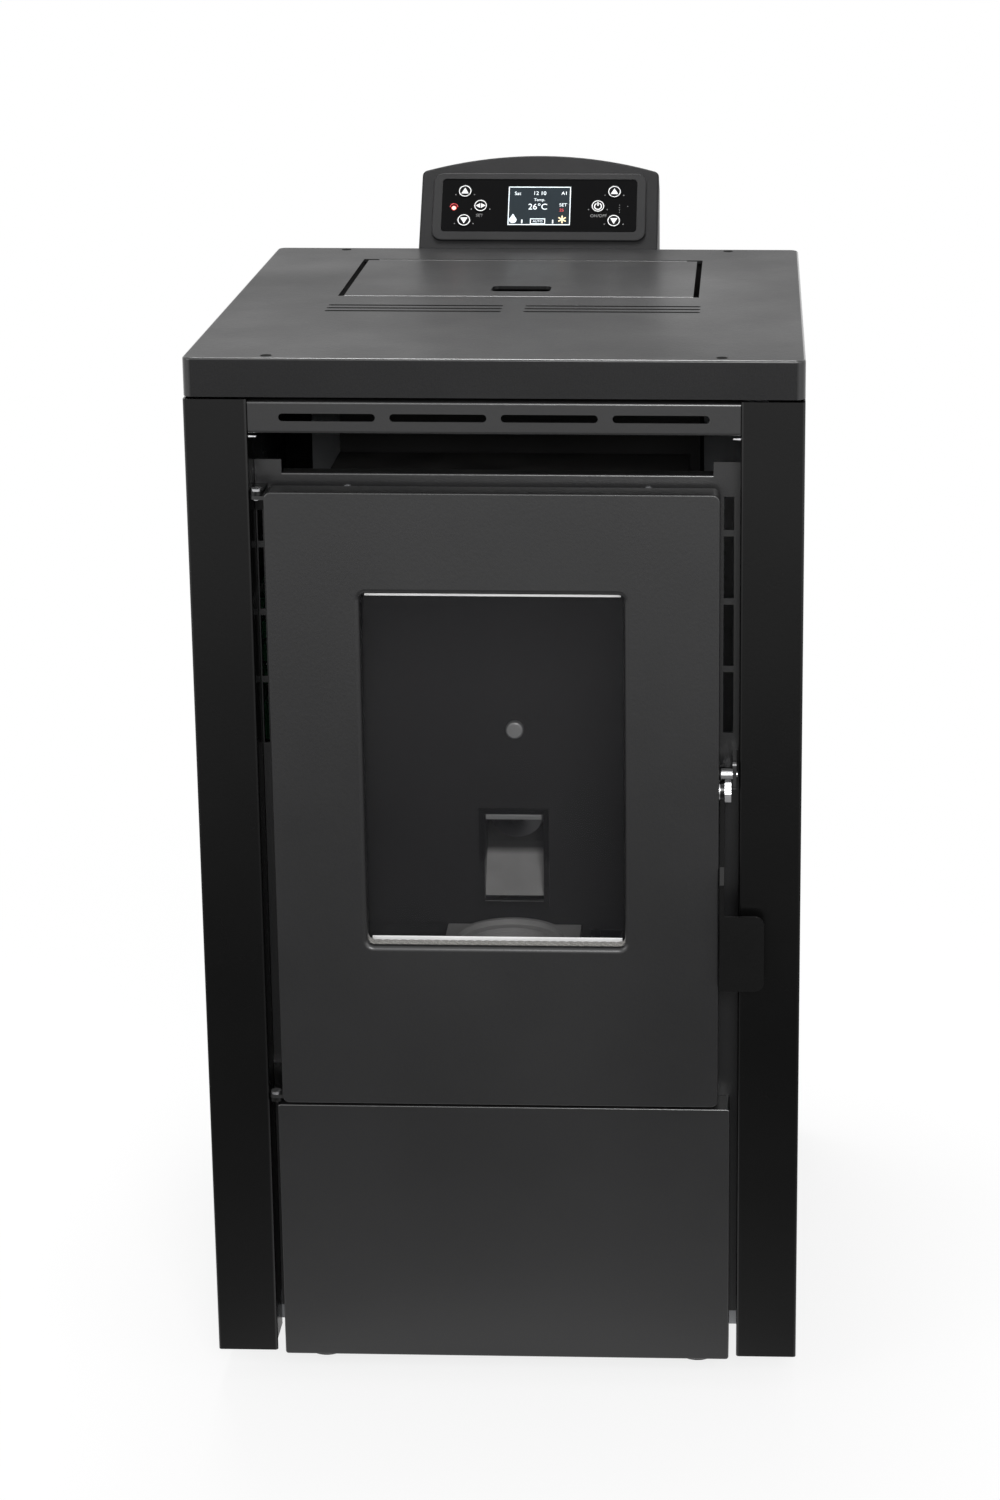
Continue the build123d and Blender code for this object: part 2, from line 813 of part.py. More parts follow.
def firebox_shell():
    wall = firebox_gauge
    shell = block(
        -fire_half - wall, fire_half + wall, frame_back, firebox_rear, floor_under, fire_top + wall
    )
    shell -= block(-fire_half, fire_half, frame_back - 1, firebox_back, fire_bottom, fire_top)
    for x0, x1 in ((-fire_half, -fire_half + ledge), (fire_half - ledge, fire_half)):
        low = baffle_height - ledge_gauge
        shell += block(x0, x1, frame_back + baffle_gap, firebox_back, low, baffle_height)
    half = chute_half + seat_gap
    shell -= block(
        fire_centre - half, fire_centre + half, liner_face, firebox_rear + 1,
        chute_bottom - seat_gap, chute_top + seat_gap,
    )
    shell -= smoke_port(firebox_back - 1, firebox_rear + 1)
    rear = (fire_centre, firebox_rear + 1, igniter_z)
    shell -= rod(igniter_radius + seat_gap, (fire_centre, firebox_back - 1, igniter_z), rear)
    half = air_hole_half
    shell -= block(
        fire_centre - half, fire_centre + half, pot_y - half, pot_y + half, floor_under - 1, fire_bottom + 1
    )
    bolt = liner_bolt_shank + screw_gap
    rear = (liner_bolt_x, firebox_rear + 1, liner_bolt_z)
    return shell - rod(bolt, (liner_bolt_x, liner_face, liner_bolt_z), rear)


def smoke_port(y0, y1):
    top = smoke_top - smoke_wall
    left = smoke_x + smoke_wall
    return block(left, smoke_right - smoke_wall, y0, y1, top - smoke_port_height, top)


def firebox_back_liner():
    side = fire_half - seat_gap
    back = liner_face + liner_gauge
    liner = block(-side, side, liner_face, back, liner_bottom, baffle_height - ledge_gauge - seat_gap)
    half = chute_half + seat_gap
    liner -= block(
        fire_centre - half, fire_centre + half, liner_face - 1, back + 1,
        chute_bottom - seat_gap, chute_top + seat_gap,
    )
    bolt = liner_bolt_shank + screw_gap
    x = liner_bolt_x
    return liner - rod(bolt, (x, liner_face - 1, liner_bolt_z), (x, back + 1, liner_bolt_z))


def liner_bolt():
    x = liner_bolt_x
    seat = (x, liner_face, liner_bolt_z)
    head = rod(liner_bolt_head, (x, liner_face - liner_bolt_dome, liner_bolt_z), seat)
    head = fillet(head.edges().group_by(Axis.Y)[0], liner_bolt_dome / 3)
    return head + rod(liner_bolt_shank, seat, (x, firebox_rear + liner_bolt_tail, liner_bolt_z))


def baffle_plate():
    side = fire_half - seat_gap
    back = firebox_back - seat_gap
    return block(-side, side, frame_back + baffle_gap, back, baffle_height, baffle_height + baffle_gauge)


def pot_seat():
    wall = seat_gauge
    x0, x1 = fire_centre - seat_half, fire_centre + seat_half
    y0, y1 = pot_y - seat_half, pot_y + seat_half
    seat = block(x0, x1, y0, y1, fire_bottom, seat_top)
    seat -= block(x0 + wall, x1 - wall, y0 + wall, y1 - wall, fire_bottom - 1, seat_top - wall)
    seat -= rod(pot_radius + pot_gap, (fire_centre, pot_y, fire_bottom), (fire_centre, pot_y, seat_top + 1))
    rear = (fire_centre, y1 + 1, igniter_z)
    return seat - rod(igniter_radius + seat_gap, (fire_centre, y1 - wall - 1, igniter_z), rear)


def burn_pot():
    height = seat_top + seat_gap - pot_foot_z
    middle = Pos(fire_centre, pot_y, pot_foot_z + height / 2)
    pot = middle * Cone(pot_foot_radius, pot_radius, height)
    top = (fire_centre, pot_y, pot_top)
    pot += ring(pot_flange_radius, pot_radius - pot_wall, (fire_centre, pot_y, pot_top - pot_flange), top)
    rim_bore = pot_flange_radius - pot_rim_wall
    pot += ring(pot_flange_radius, rim_bore, top, (fire_centre, pot_y, pot_top + pot_rim))
    cup = Cone(pot_foot_radius - pot_wall, pot_radius - pot_wall, pot_top - pot_foot_z)
    pot -= Pos(fire_centre, pot_y, pot_foot_z + pot_wall + (pot_top - pot_foot_z) / 2) * cup
    centre = Vector(fire_centre, pot_y, igniter_z)
    for step in range(pot_hole_count):
        turn = math.radians(90 + step * 360 / pot_hole_count)
        way = Vector(math.cos(turn), math.sin(turn), 0)
        radius = pot_hole_radius if step else igniter_radius
        pot -= rod(radius, centre + way * (pot_foot_radius - 2 * pot_wall), centre + way * pot_radius)
        x, y = fire_centre + way.X * pot_foot_radius / 2, pot_y + way.Y * pot_foot_radius / 2
        pot -= rod(pot_hole_radius, (x, y, pot_foot_z - 1), (x, y, pot_foot_z + pot_wall + 1))
    return pot


def ash_tray():
    inside = seat_half + ash_gap
    left, right = fire_centre - inside, fire_centre + inside
    notch = pot_y - inside
    corners = [
        (-ash_half, ash_front), (ash_half, ash_front), (ash_half, ash_back), (right, ash_back),
        (right, notch), (left, notch), (left, ash_back), (-ash_half, ash_back),
    ]
    outline = make_face(Polyline(*corners, close=True))
    tray = Pos(0, 0, fire_bottom + seat_gap) * extrude(outline, ash_height)
    hollow = offset(outline, -sheet)
    return tray - Pos(0, 0, fire_bottom + seat_gap + sheet) * extrude(hollow, ash_height)


def igniter():
    tip = pot_y + pot_radius + igniter_tip
    rear = firebox_rear + igniter_tail
    heater = rod(igniter_radius, (fire_centre, tip, igniter_z), (fire_centre, rear, igniter_z))
    seat = (fire_centre, firebox_rear, igniter_z)
    return heater + rod(igniter_flange, seat, (fire_centre, firebox_rear + igniter_flange_gauge, igniter_z))


# Combustion air

def air_box():
    wall = air_box_gauge
    low = floor_under - air_box_height
    box = block(air_box_left, air_box_right, air_box_front, firebox_back, low, floor_under)
    box -= block(
        air_box_left + wall, air_box_right - wall, air_box_front + wall, firebox_back - wall,
        low + wall, floor_under + 1,
    )
    rear = (intake_x, firebox_back + 1, intake_z)
    return box - rod(intake_radius + seat_gap, (intake_x, firebox_back - wall - 1, intake_z), rear)


def beaded_pipe(x, z, radius, wall, start, end):
    bead = panel_y + pipe_bead
    pipe = rod(radius, (x, start, z), (x, end, z))
    pipe += rod(radius + pipe_bead, (x, bead, z), (x, bead + pipe_bead_width, z))
    return pipe - rod(radius - wall, (x, start - 1, z), (x, end + 1, z))


def air_intake_pipe():
    start = firebox_back - air_box_gauge
    return beaded_pipe(intake_x, intake_z, intake_radius, intake_wall, start, panel_y + intake_reach)


# Fuel path

def feed_chute():
    front = liner_face - chute_wall
    low = auger_head - auger_up * chute_throat
    rise = (chute_top - auger_head_z) / math.cos(slope)
    high = auger_head + auger_up * rise
    corners = [(front, chute_bottom), (front, chute_top), (high.Y, chute_top), (low.Y, low.Z)]
    chute = side_profile(corners, fire_centre - chute_half, fire_centre + chute_half)
    inner = chute_half - chute_wall
    shift = auger_dir * -chute_wall
    floor_y = front - chute_wall
    hollow = [
        (floor_y, chute_bottom + chute_wall),
        (floor_y, chute_top - chute_wall),
        (high.Y + shift.Y - 2 * chute_wall, chute_top - chute_wall),
        (low.Y + shift.Y, low.Z + shift.Z + chute_wall),
        (front + chute_wall, chute_bottom + chute_wall),
    ]
    outer = chute_half + chute_flange
    chute += block(
        fire_centre - outer, fire_centre + outer, front, liner_face,
        chute_bottom - chute_flange, chute_top + chute_flange,
    )
    chute -= side_profile(hollow, fire_centre - inner, fire_centre + inner)
    inside = auger_head - auger_dir * (2 * chute_wall)
    return chute - rod(auger_bore, inside, auger_head + auger_dir * chute_wall)


def auger_tube():
    outer = auger_bore + auger_wall
    tube = rod(outer, auger_head, auger_tail)
    tube += rod(auger_flange, auger_tail - auger_dir * auger_flange_gauge, auger_tail)
    tube += neck_block(neck_outer, neck_axis_z, neck_z)
    tube += neck_block(neck_outer + neck_flange, neck_z - neck_gauge, neck_z)
    tube -= neck_block(neck_half, neck_axis_z + neck_gauge, neck_z + 1)
    return tube - rod(auger_bore, auger_head - auger_dir, auger_tail + auger_dir)


def auger_screw():
    start = auger_head - auger_dir * screw_nose
    shaft = rod(screw_shaft, start, auger_tail + auger_dir * gearbox_bore)
    length = auger_length + screw_nose - screw_end_gap
    middle = (screw_radius + screw_shaft) / 2
    coil = Helix(pitch=screw_pitch, height=length, radius=middle)
    blade = Plane(origin=coil @ 0, x_dir=(1, 0, 0), z_dir=coil % 0)
    blade = blade * Rectangle(screw_radius - screw_shaft + 1, screw_gauge)
    flight = sweep(blade, path=coil, is_frenet=True)
    along = Plane(origin=start, x_dir=(1, 0, 0), z_dir=auger_dir)
    return shaft + along * flight


def auger_motor():
    along = Plane(origin=auger_tail, x_dir=(1, 0, 0), z_dir=auger_dir)
    box = Pos(0, 0, gearbox_length / 2) * Box(gearbox_size, gearbox_size, gearbox_length)
    box = fillet(box.edges().filter_by(Axis.Z), gearbox_corner)
    can = Pos(0, 0, gearbox_length + auger_can_length / 2) * Cylinder(auger_can_radius, auger_can_length)
    bore = Pos(0, 0, gearbox_bore / 2) * Cylinder(screw_shaft + running_gap, gearbox_bore + 1)
    return along * (box + can - bore)


def hopper():
    wall = hopper_gauge
    inner = (-opening_half, opening_half, opening_front, hopper_back)
    outer = (-opening_half - wall, opening_half + wall, opening_front - wall, hopper_back + wall)
    shell = funnel(outer, neck_half + neck_gauge, plate_under)
    rim = block(
        outer[0] - hopper_rim, outer[1] + hopper_rim, outer[2] - hopper_rim, outer[3] + hopper_rim,
        plate_under - wall, plate_under,
    )
    wide = neck_outer + neck_flange
    foot = neck_block(wide, neck_z, neck_z + neck_gauge)
    cut = neck_block(neck_half, neck_z - 1, neck_z + neck_gauge + 1)
    return shell + rim + foot - funnel(inner, neck_half, plate_under + 1) - cut


def neck_block(half, low, high):
    return block(fire_centre - half, fire_centre + half, neck_y - half, neck_y + half, low, high)


def funnel(mouth, half, top):
    """Straight hopper over a tapered part over a square neck; mouth is x0, x1, y0, y1."""
    x0, x1, y0, y1 = mouth
    body = block(x0, x1, y0, y1, hopper_straight, top)
    wide = Pos((x0 + x1) / 2, (y0 + y1) / 2, hopper_straight) * Rectangle(x1 - x0, y1 - y0)
    narrow = Pos(fire_centre, neck_y, neck_z + neck_height) * Rectangle(2 * half, 2 * half)
    body += loft([narrow, wide], ruled=True)
    return body + neck_block(half, neck_z, neck_z + neck_height)


# Smoke path

def smoke_duct():
    wall = smoke_wall
    duct = block(smoke_x, smoke_right, firebox_rear, smoke_back, smoke_bottom, smoke_top)
    duct -= block(
        smoke_x + wall, smoke_right - wall, firebox_rear + wall, smoke_back - wall,
        smoke_bottom + wall, smoke_top - wall,
    )
    duct -= smoke_port(firebox_rear - 1, firebox_rear + wall + 1)
    return duct - blower_rod(blower_inlet, smoke_right - wall - 1, smoke_right + 1)


def blower_rod(radius, x0, x1):
    """A rod on the axis of the smoke fan."""
    return rod(radius, (x0, blower_y, blower_z), (x1, blower_y, blower_z))


def scroll(radius, x0, x1, y1, low, high):
    """Round blower case with its outlet towards the back."""
    return blower_rod(radius, x0, x1) + block(x0, x1, blower_y, y1, low, high)


def exhaust_blower_housing():
    wall = blower_wall
    low = blower_z - blower_radius
    case = scroll(blower_radius, smoke_right, blower_right, flue_y, low, low + outlet_height)
    case -= scroll(
        blower_radius - wall, smoke_right + wall, blower_right - wall, flue_y + 1,
        low + wall, low + outlet_height - wall,
    )
    case -= blower_rod(blower_inlet, smoke_right - 1, smoke_right + wall + 1)
    return case - blower_rod(blower_shaft + screw_gap, blower_right - wall - 1, blower_right + 1)


def exhaust_impeller():
    left = smoke_right + blower_wall + wheel_gap
    right = blower_right - blower_wall - wheel_gap
    wheel = blower_rod(wheel_radius, right - blade_gauge, right)
    wheel += blower_rod(wheel_hub, left, right)
    wheel += blower_rod(blower_shaft, right, blower_right + blower_shaft_reach)
    blade = block(left, right, -blade_gauge / 2, blade_gauge / 2, wheel_hub - 1, wheel_radius)
    for step in range(wheel_blades):
        turned = Rot(step * 360 / wheel_blades, 0, 0) * blade
        wheel += Pos(0, blower_y, blower_z) * turned
    return wheel


def exhaust_motor():
    can = blower_rod(blower_can_radius, blower_right, blower_right + blower_can_length)
    bore_end = blower_right + blower_shaft_reach + 1
    return can - blower_rod(blower_shaft + running_gap, blower_right - 1, bore_end)


def flue_collar():
    half = flue_plate / 2
    plate = block(flue_x - half, flue_x + half, flue_y, flue_y + flue_gauge, flue_z - half, flue_z + half)
    mouth_x = blower_width / 2 - blower_wall
    mouth_z = outlet_height / 2 - blower_wall
    back = flue_y + flue_gauge + 1
    plate -= block(flue_x - mouth_x, flue_x + mouth_x, flue_y - 1, back, flue_z - mouth_z, flue_z + mouth_z)
    start = flue_y + flue_gauge
    return plate + beaded_pipe(flue_x, flue_z, flue_radius, flue_wall, start, panel_y + flue_reach)


# Warm air fan

def convection_blower_housing():
    wall = fan_wall
    reach = drum_radius + fan_margin
    front, back, top = drum_y - reach, drum_y + reach, drum_z + reach
    case = block(fan_left, fan_right, front, back, tray_top, top)
    case -= block(fan_left + wall, fan_right - wall, front + wall, back - wall, tray_top + wall, top - wall)
    mouth = fan_mouth / 2
    left, right = fan_left + fan_margin, fan_right - fan_margin
    case -= block(left, right, front - 1, front + wall + 1, drum_z - mouth, drum_z + mouth)
    outlet = back - wall
    case -= block(left, right, outlet - fan_outlet, outlet, top - wall - 1, top + 1)
    ends = ((fan_left - 1, drum_y, drum_z), (fan_right + 1, drum_y, drum_z))
    return case - rod(drum_shaft + running_gap, *ends)


def convection_impeller():
    wheel = rod(drum_shaft, (fan_left, drum_y, drum_z), (fan_right + fan_shaft_reach, drum_y, drum_z))
    for x in (drum_left, (drum_left + drum_right - drum_disc) / 2, drum_right - drum_disc):
        wheel += rod(drum_radius, (x, drum_y, drum_z), (x + drum_disc, drum_y, drum_z))
    inside = drum_radius - drum_blade_depth
    blade = block(drum_left, drum_right, -blade_gauge / 2, blade_gauge / 2, inside, drum_radius)
    for step in range(drum_blades):
        wheel += Pos(0, drum_y, drum_z) * (Rot(step * 360 / drum_blades, 0, 0) * blade)
    return wheel


def convection_motor():
    end = fan_right + fan_can_length
    can = rod(fan_can_radius, (fan_right, drum_y, drum_z), (end, drum_y, drum_z))
    left, right = fan_right + fan_cradle_inset, end - fan_cradle_inset
    can += block(left, right, drum_y - fan_cradle_half, drum_y + fan_cradle_half, tray_top, drum_z)
    bore = fan_right + fan_shaft_reach + 1
    return can - rod(drum_shaft + running_gap, (fan_right - 1, drum_y, drum_z), (bore, drum_y, drum_z))


# Electrics

def control_board():
    wall_x = -half_width + sheet
    board_x = wall_x + board_standoff
    y0, y1 = board_y - board_depth / 2, board_y + board_depth / 2
    z0, z1 = board_z - board_height / 2, board_z + board_height / 2
    face = board_x + board_gauge
    board = block(board_x, face, y0, y1, z0, z1)
    y, z = y0 + part_edge, z0 + part_edge
    board += block(face, face + coil_depth, y, y + coil_width, z, z + coil_height)
    rear = y1 - part_edge
    board += block(face, face + terminal_height, rear - coil_width, rear, z, z + terminal_height)
    for step in range(relay_count):
        low = z1 - part_edge - relay_height - step * relay_pitch
        board += block(face, face + relay_height, y, y + relay_width, low, low + relay_height)
    chip_y = board_y + part_edge / 2
    board += block(face, face + chip_depth, chip_y, chip_y + coil_height, board_z, board_z + coil_height)
    edge = standoff_edge
    posts = [
        rod(standoff_radius, (wall_x, y, z), (board_x, y, z))
        for y in (y0 + edge, y1 - edge)
        for z in (z0 + edge, z1 - edge)
    ]
    return [board] + posts


def power_inlet():
    half_x, half_z = inlet_width / 2, inlet_height / 2
    face = panel_y + inlet_gauge
    inlet = block(inlet_x - half_x, inlet_x + half_x, panel_y, face, inlet_z - half_z, inlet_z + half_z)
    body_x = socket_width / 2 + socket_wall
    body_z = socket_height / 2 + socket_wall / 2
    floor = face - socket_depth
    left, right, low, high = inlet_x - body_x, inlet_x + body_x, inlet_z - body_z, inlet_z + body_z
    inlet += block(left, right, floor - socket_floor, panel_y, low, high)
    hole_x, hole_z = socket_width / 2, socket_height / 2
    inlet -= block(inlet_x - hole_x, inlet_x + hole_x, floor, face + 1, inlet_z - hole_z, inlet_z + hole_z)
    half_x, half_z = socket_pin_width / 2, socket_pin_height / 2
    for step in (-1, 0, 1):
        x = inlet_x + step * socket_pin_pitch
        z = inlet_z + (socket_pin_shift if step else -socket_pin_shift)
        inlet += block(x - half_x, x + half_x, floor - 1, floor + socket_pin_reach, z - half_z, z + half_z)
    return inlet


# Console

def key_places():
    rows = (key_middle + key_row, key_middle, key_middle - key_row)
    columns = (key_outer_x, key_inner_x, key_outer_x)
    left = ("key_left_up", "key_set", "key_left_down")
    right = ("key_right_up", "key_power", "key_right_down")
    return {
        names[row]: (side * columns[row], rows[row])
        for side, names in ((-1, left), (1, right))
        for row in range(len(rows))
    }


def console_shape(wall):
    """Solid outline of the console, drawn in by a wall."""
    half = console_width / 2 - wall
    corner, arch = console_corner - wall, console_arch - wall
    low = -(console_foot + console_reach)
    edges = [
        Line((-half, low), (half, low)),
        Line((half, low), (half, corner)),
        ThreePointArc((half, corner), (0, arch), (-half, corner)),
        Line((-half, corner), (-half, low)),
    ]
    outline = make_face(edges)
    outline = fillet(outline.vertices().group_by(Axis.Y)[-1], console_round)
    prism = console_face * (Pos(0, 0, -wall) * extrude(outline, -3 * console_reach))
    box = block(
        -half, half, console_y + wall, console_back - wall,
        plate_height - console_foot + wall, plate_height + console_arch,
    )
    return prism & box


def on_console_rim(point):
    local = console_face.to_local_coords(point)
    return abs(local.Z) < console_edge / 10 and local.Y > console_round


def console_housing():
    housing = console_shape(0)
    rim = housing.edges().filter_by(lambda edge: on_console_rim(edge.center()))
    housing = fillet(rim, console_edge)
    half = console_width / 2 - console_round
    low = plate_height - console_foot
    housing += block(-half, half, panel_y, console_y + 1, low, column_top)
    housing -= console_shape(console_wall)
    for x, up in key_places().values():
        hole = Pos(x, up, -console_wall / 2) * Cylinder(key_radius + key_gap, console_wall + 2)
        housing -= console_face * hole
    return housing


def console_fascia():
    outline = Pos(0, fascia_middle, 0) * RectangleRounded(fascia_width, fascia_height, fascia_corner)
    rim = extrude(outline, fascia_gauge)
    rim = fillet(rim.edges().group_by(Axis.Z)[-1], fascia_edge)
    floor = fascia_gauge - insert_depth
    insert = Pos(0, display_middle, floor) * RectangleRounded(insert_width, insert_height, insert_corner)
    rim -= extrude(insert, fascia_gauge)
    half = display_width / 2
    rim -= block(-half, half, display_low, display_low + display_height, -1, fascia_gauge + 1)
    for x, up in key_places().values():
        rim -= Pos(x, up, 0) * Cylinder(key_radius + key_gap, 3 * fascia_gauge)
    return console_face * rim


def console_display():
    half_x = display_width / 2 - seat_gap
    half_y = display_height / 2 - seat_gap
    top = fascia_gauge - insert_depth
    return console_face * block(-half_x, half_x, display_middle - half_y, display_middle + half_y, 0, top)


def console_keys():
    keys = {}
    base = -console_wall - seat_gap - key_collar_gauge
    for name, (x, up) in key_places().items():
        cap = rod(key_radius, (x, up, base), (x, up, key_rise))
        cap = fillet(cap.edges().group_by(Axis.Z)[-1], key_edge)
        keys[name] = console_face * (cap + rod(key_collar, (x, up, base), (x, up, base + key_collar_gauge)))
    return keys


# Door

def hinge_levels():
    """Door tabs and casing plates of the two hinges, each as its lowest z, and which way the foot runs."""
    drop = hinge_gauge + seat_gap
    upper = (door_top - drop - hinge_gauge, door_top - hinge_gauge, -1)
    lower = (door_bottom + drop, door_bottom, 1)
    return upper, lower


def on_window_rim(point):
    beside = abs(point.X - window_x) < window_width / 2 + door_gauge
    above = abs(point.Z - window_z) < window_height / 2 + door_gauge
    return beside and above and abs(point.Y - door_front) < door_gauge / 4


def door_skin():
    skin = block(door_left, door_right, door_front, door_back, door_bottom, door_top)
    skin = fillet(skin.edges().filter_by(Axis.Y), door_corner)
    skin = fillet(skin.edges().group_by(Axis.Y)[0], door_edge)
    wall = door_gauge
    left, right, low, high = door_left + wall, door_right - wall, door_bottom + wall, door_top - wall
    hollow = block(left, right, door_front + wall, door_back + 1, low, high)
    skin -= fillet(hollow.edges().filter_by(Axis.Y), door_corner - wall)
    wide, tall = window_width + 2 * window_roll, window_height + 2 * window_roll
    corner = window_corner + window_roll
    skin += rounded(window_x, window_z, wide, tall, corner, door_front + wall / 2, door_front + window_roll)
    skin -= rounded(window_x, window_z, window_width, window_height, window_corner, door_front - 1, door_back)
    rim = skin.edges().filter_by(lambda edge: on_window_rim(edge.center()))
    skin = fillet(rim, window_bend)
    for tab, _, _ in hinge_levels():
        eye = rod(hinge_eye, (hinge_x, hinge_y, tab), (hinge_x, hinge_y, tab + hinge_gauge))
        eye += block(hinge_x, left, hinge_y - hinge_eye, hinge_y + hinge_eye, tab, tab + hinge_gauge)
        bore = hinge_pin + running_gap
        skin += eye - rod(bore, (hinge_x, hinge_y, tab - 1), (hinge_x, hinge_y, tab + hinge_gauge + 1))
    pivot = pivot_radius + screw_gap
    return skin - rod(pivot, (door_right - wall - 1, pivot_y, pivot_z), (door_right + 1, pivot_y, pivot_z))


def clip_places():
    """Middle of each glass clip on the edge of the inner frame, and the way outwards."""
    edge_x = window_width / 2 + inner_lap
    edge_z = window_height / 2 + inner_lap
    sides = [
        (side, 0, window_x + side * edge_x, window_z + rise)
        for side in (-1, 1)
        for rise in (-clip_spread, clip_spread)
    ]
    ends = [(0, side, window_x, window_z + side * edge_z) for side in (-1, 1)]
    return sides + ends


def clip_screw_places():
    middle = clip_reach / 2 + collar_gauge
    return [(x + out_x * middle, z + out_z * middle) for out_x, out_z, x, z in clip_places()]


def door_inner_frame():
    gap = door_gauge + seat_gap
    y0 = door_back - inner_gauge
    frame = block(door_left + gap, door_right - gap, y0, door_back, door_bottom + gap, door_top - gap)
    frame = fillet(frame.edges().filter_by(Axis.Y), door_corner - door_gauge)
    hole_x, hole_z = window_width + 2 * inner_lap, window_height + 2 * inner_lap
    wide_x, wide_z = hole_x + 2 * collar_gauge, hole_z + 2 * collar_gauge
    frame += rounded(window_x, window_z, wide_x, wide_z, window_corner, glass_back + seat_gap, door_back)
    frame -= rounded(window_x, window_z, hole_x, hole_z, window_corner, glass_back, door_back + 1)
    for x, z in clip_screw_places():
        frame -= rod(panel_screw_shank + screw_gap, (x, y0 - 1, z), (x, door_back + 1, z))
    return frame


def door_glass():
    width, height = window_width + 2 * glass_lap, window_height + 2 * glass_lap
    return rounded(window_x, window_z, width, height, window_corner, glass_y, glass_back)


def glass_gasket():
    width, height = window_width + 2 * rope_outset, window_height + 2 * rope_outset
    plane = Plane((window_x, rope_y, window_z), (1, 0, 0), (0, -1, 0))
    path = plane * RectangleRounded(width, height, window_corner + rope_outset + rope_radius).wire()
    section = Plane(origin=path @ 0, z_dir=path % 0) * Circle(rope_radius)
    return sweep(section, path=path)


def door_gasket():
    middle_z = (fire_bottom + fire_top) / 2
    width = 2 * (fire_half + seal_outset)
    height = fire_top - fire_bottom + 2 * seal_outset
    y0, y1 = door_back, frame_y - seat_gap
    half = seal_width / 2
    seal = rounded(0, middle_z, width + seal_width, height + seal_width, half + seal_corner, y0, y1)
    seal -= rounded(0, middle_z, width - seal_width, height - seal_width, seal_corner, y0 - 1, y1 + 1)
    return fillet(seal.edges().group_by(Axis.Y)[-1], seal_round)


def glass_clips():
    clips = []
    half = clip_width / 2
    for out_x, out_z, x, z in clip_places():
        leg_x = (x - out_x * clip_gauge, x) if out_x else (x - half, x + half)
        leg_z = (z - out_z * clip_gauge, z) if out_z else (z - half, z + half)
        clip = block(*leg_x, glass_back + seat_gap, door_back + clip_gauge, *leg_z)
        pad_x = (x - out_x * clip_gauge, x + out_x * clip_reach) if out_x else (x - half, x + half)
        pad_z = (z - out_z * clip_gauge, z + out_z * clip_reach) if out_z else (z - half, z + half)
        clip += block(*pad_x, door_back, door_back + clip_gauge, *pad_z)
        clips.append(clip)
    for index, (x, z) in enumerate(clip_screw_places()):
        rear = (x, door_back + 2 * clip_gauge, z)
        clips[index] -= rod(panel_screw_shank + screw_gap, (x, door_back - 1, z), rear)
    return clips


def clip_screws():
    screws = []
    face = door_back + clip_gauge
    for x, z in clip_screw_places():
        shank = rod(panel_screw_shank, (x, door_back - clip_screw_reach, z), (x, face, z))
        screws.append(shank + rod(panel_screw_head, (x, face, z), (x, face + panel_screw_dome, z)))
    return screws


def door_hinge_pins():
    pins = []
    for tab, plate, foot in hinge_levels():
        low = min(tab, plate) - hinge_pin_tail
        high = max(tab, plate) + hinge_gauge
        pin = rod(hinge_pin, (hinge_x, hinge_y, low), (hinge_x, hinge_y, high))
        pin += rod(hinge_head, (hinge_x, hinge_y, high), (hinge_x, hinge_y, high + hinge_head_height))
        pins.append(pin)
    return pins


def hinge_brackets():
    brackets = []
    for _, plate, way in hinge_levels():
        top = plate + hinge_gauge
        left, right = hinge_x - hinge_eye, hinge_x + hinge_eye
        bracket = rod(hinge_eye, (hinge_x, hinge_y, plate), (hinge_x, hinge_y, top))
        bracket += block(left, right, hinge_y, frame_y, plate, top)
        low = plate if way > 0 else top - hinge_foot
        bracket += block(left, right, frame_y - hinge_foot_gauge, frame_y, low, low + hinge_foot)
        bore = hinge_pin + running_gap
        bracket -= rod(bore, (hinge_x, hinge_y, plate - 1), (hinge_x, hinge_y, top + 1))
        brackets.append(bracket)
    return brackets


# Latch

def latch_lever():
    hub = (pivot_y, pivot_z)
    half = lever_arm / 2
    back = -lever_front
    front = back - tab_gauge
    leg = front + lever_leg
    knee = lever_knee_z
    arm = [
        (hub[0] - half, hub[1]), (hub[0] + half, hub[1]),
        (hub[0] + half - lever_taper, knee + lever_taper),
        (leg, knee - lever_arm), (leg, tab_bottom), (front, tab_bottom), (front, knee - half),
        (hub[0] - half - lever_taper, knee + half),
    ]
    lever = side_profile(arm, lever_x, lever_right)
    lever += rod(lever_hub, (lever_x, *hub), (lever_right, *hub))
    hook = catch_y + catch_radius + hook_gap
    lever += block(lever_x, lever_right, hook, hook + hook_gauge, pivot_z, pivot_z + hook_rise)
    tab = block(lever_x, lever_x + tab_width, front, back, tab_bottom, tab_top)
    lever += fillet(tab.edges().filter_by(Axis.Y).group_by(Axis.X)[-1], tab_corner)
    bore = pivot_radius + running_gap
    return lever - rod(bore, (lever_x - 1, *hub), (lever_right + 1, *hub))


def latch_pivot_bolt():
    nut_x = door_right - door_gauge - pivot_nut_gauge
    head_x = lever_right + seat_gap
    axis = (pivot_y, pivot_z)
    bolt = rod(pivot_radius, (nut_x - pivot_tail, *axis), (head_x, *axis))
    bolt += hexagon(pivot_head, head_x, pivot_head_gauge)
    nut = hexagon(pivot_nut, nut_x, pivot_nut_gauge)
    nut -= rod(pivot_radius + running_gap, (nut_x - 1, *axis), (door_right, *axis))
    washer_x = door_right + (lever_gap - washer_gauge) / 2
    ends = ((washer_x, *axis), (washer_x + washer_gauge, *axis))
    washer = ring(washer_radius, pivot_radius + running_gap, *ends)
    return [bolt, nut, washer]


def hexagon(radius, x, gauge):
    return extrude(Plane((x, pivot_y, pivot_z), (0, 1, 0), (1, 0, 0)) * RegularPolygon(radius, 6), gauge)


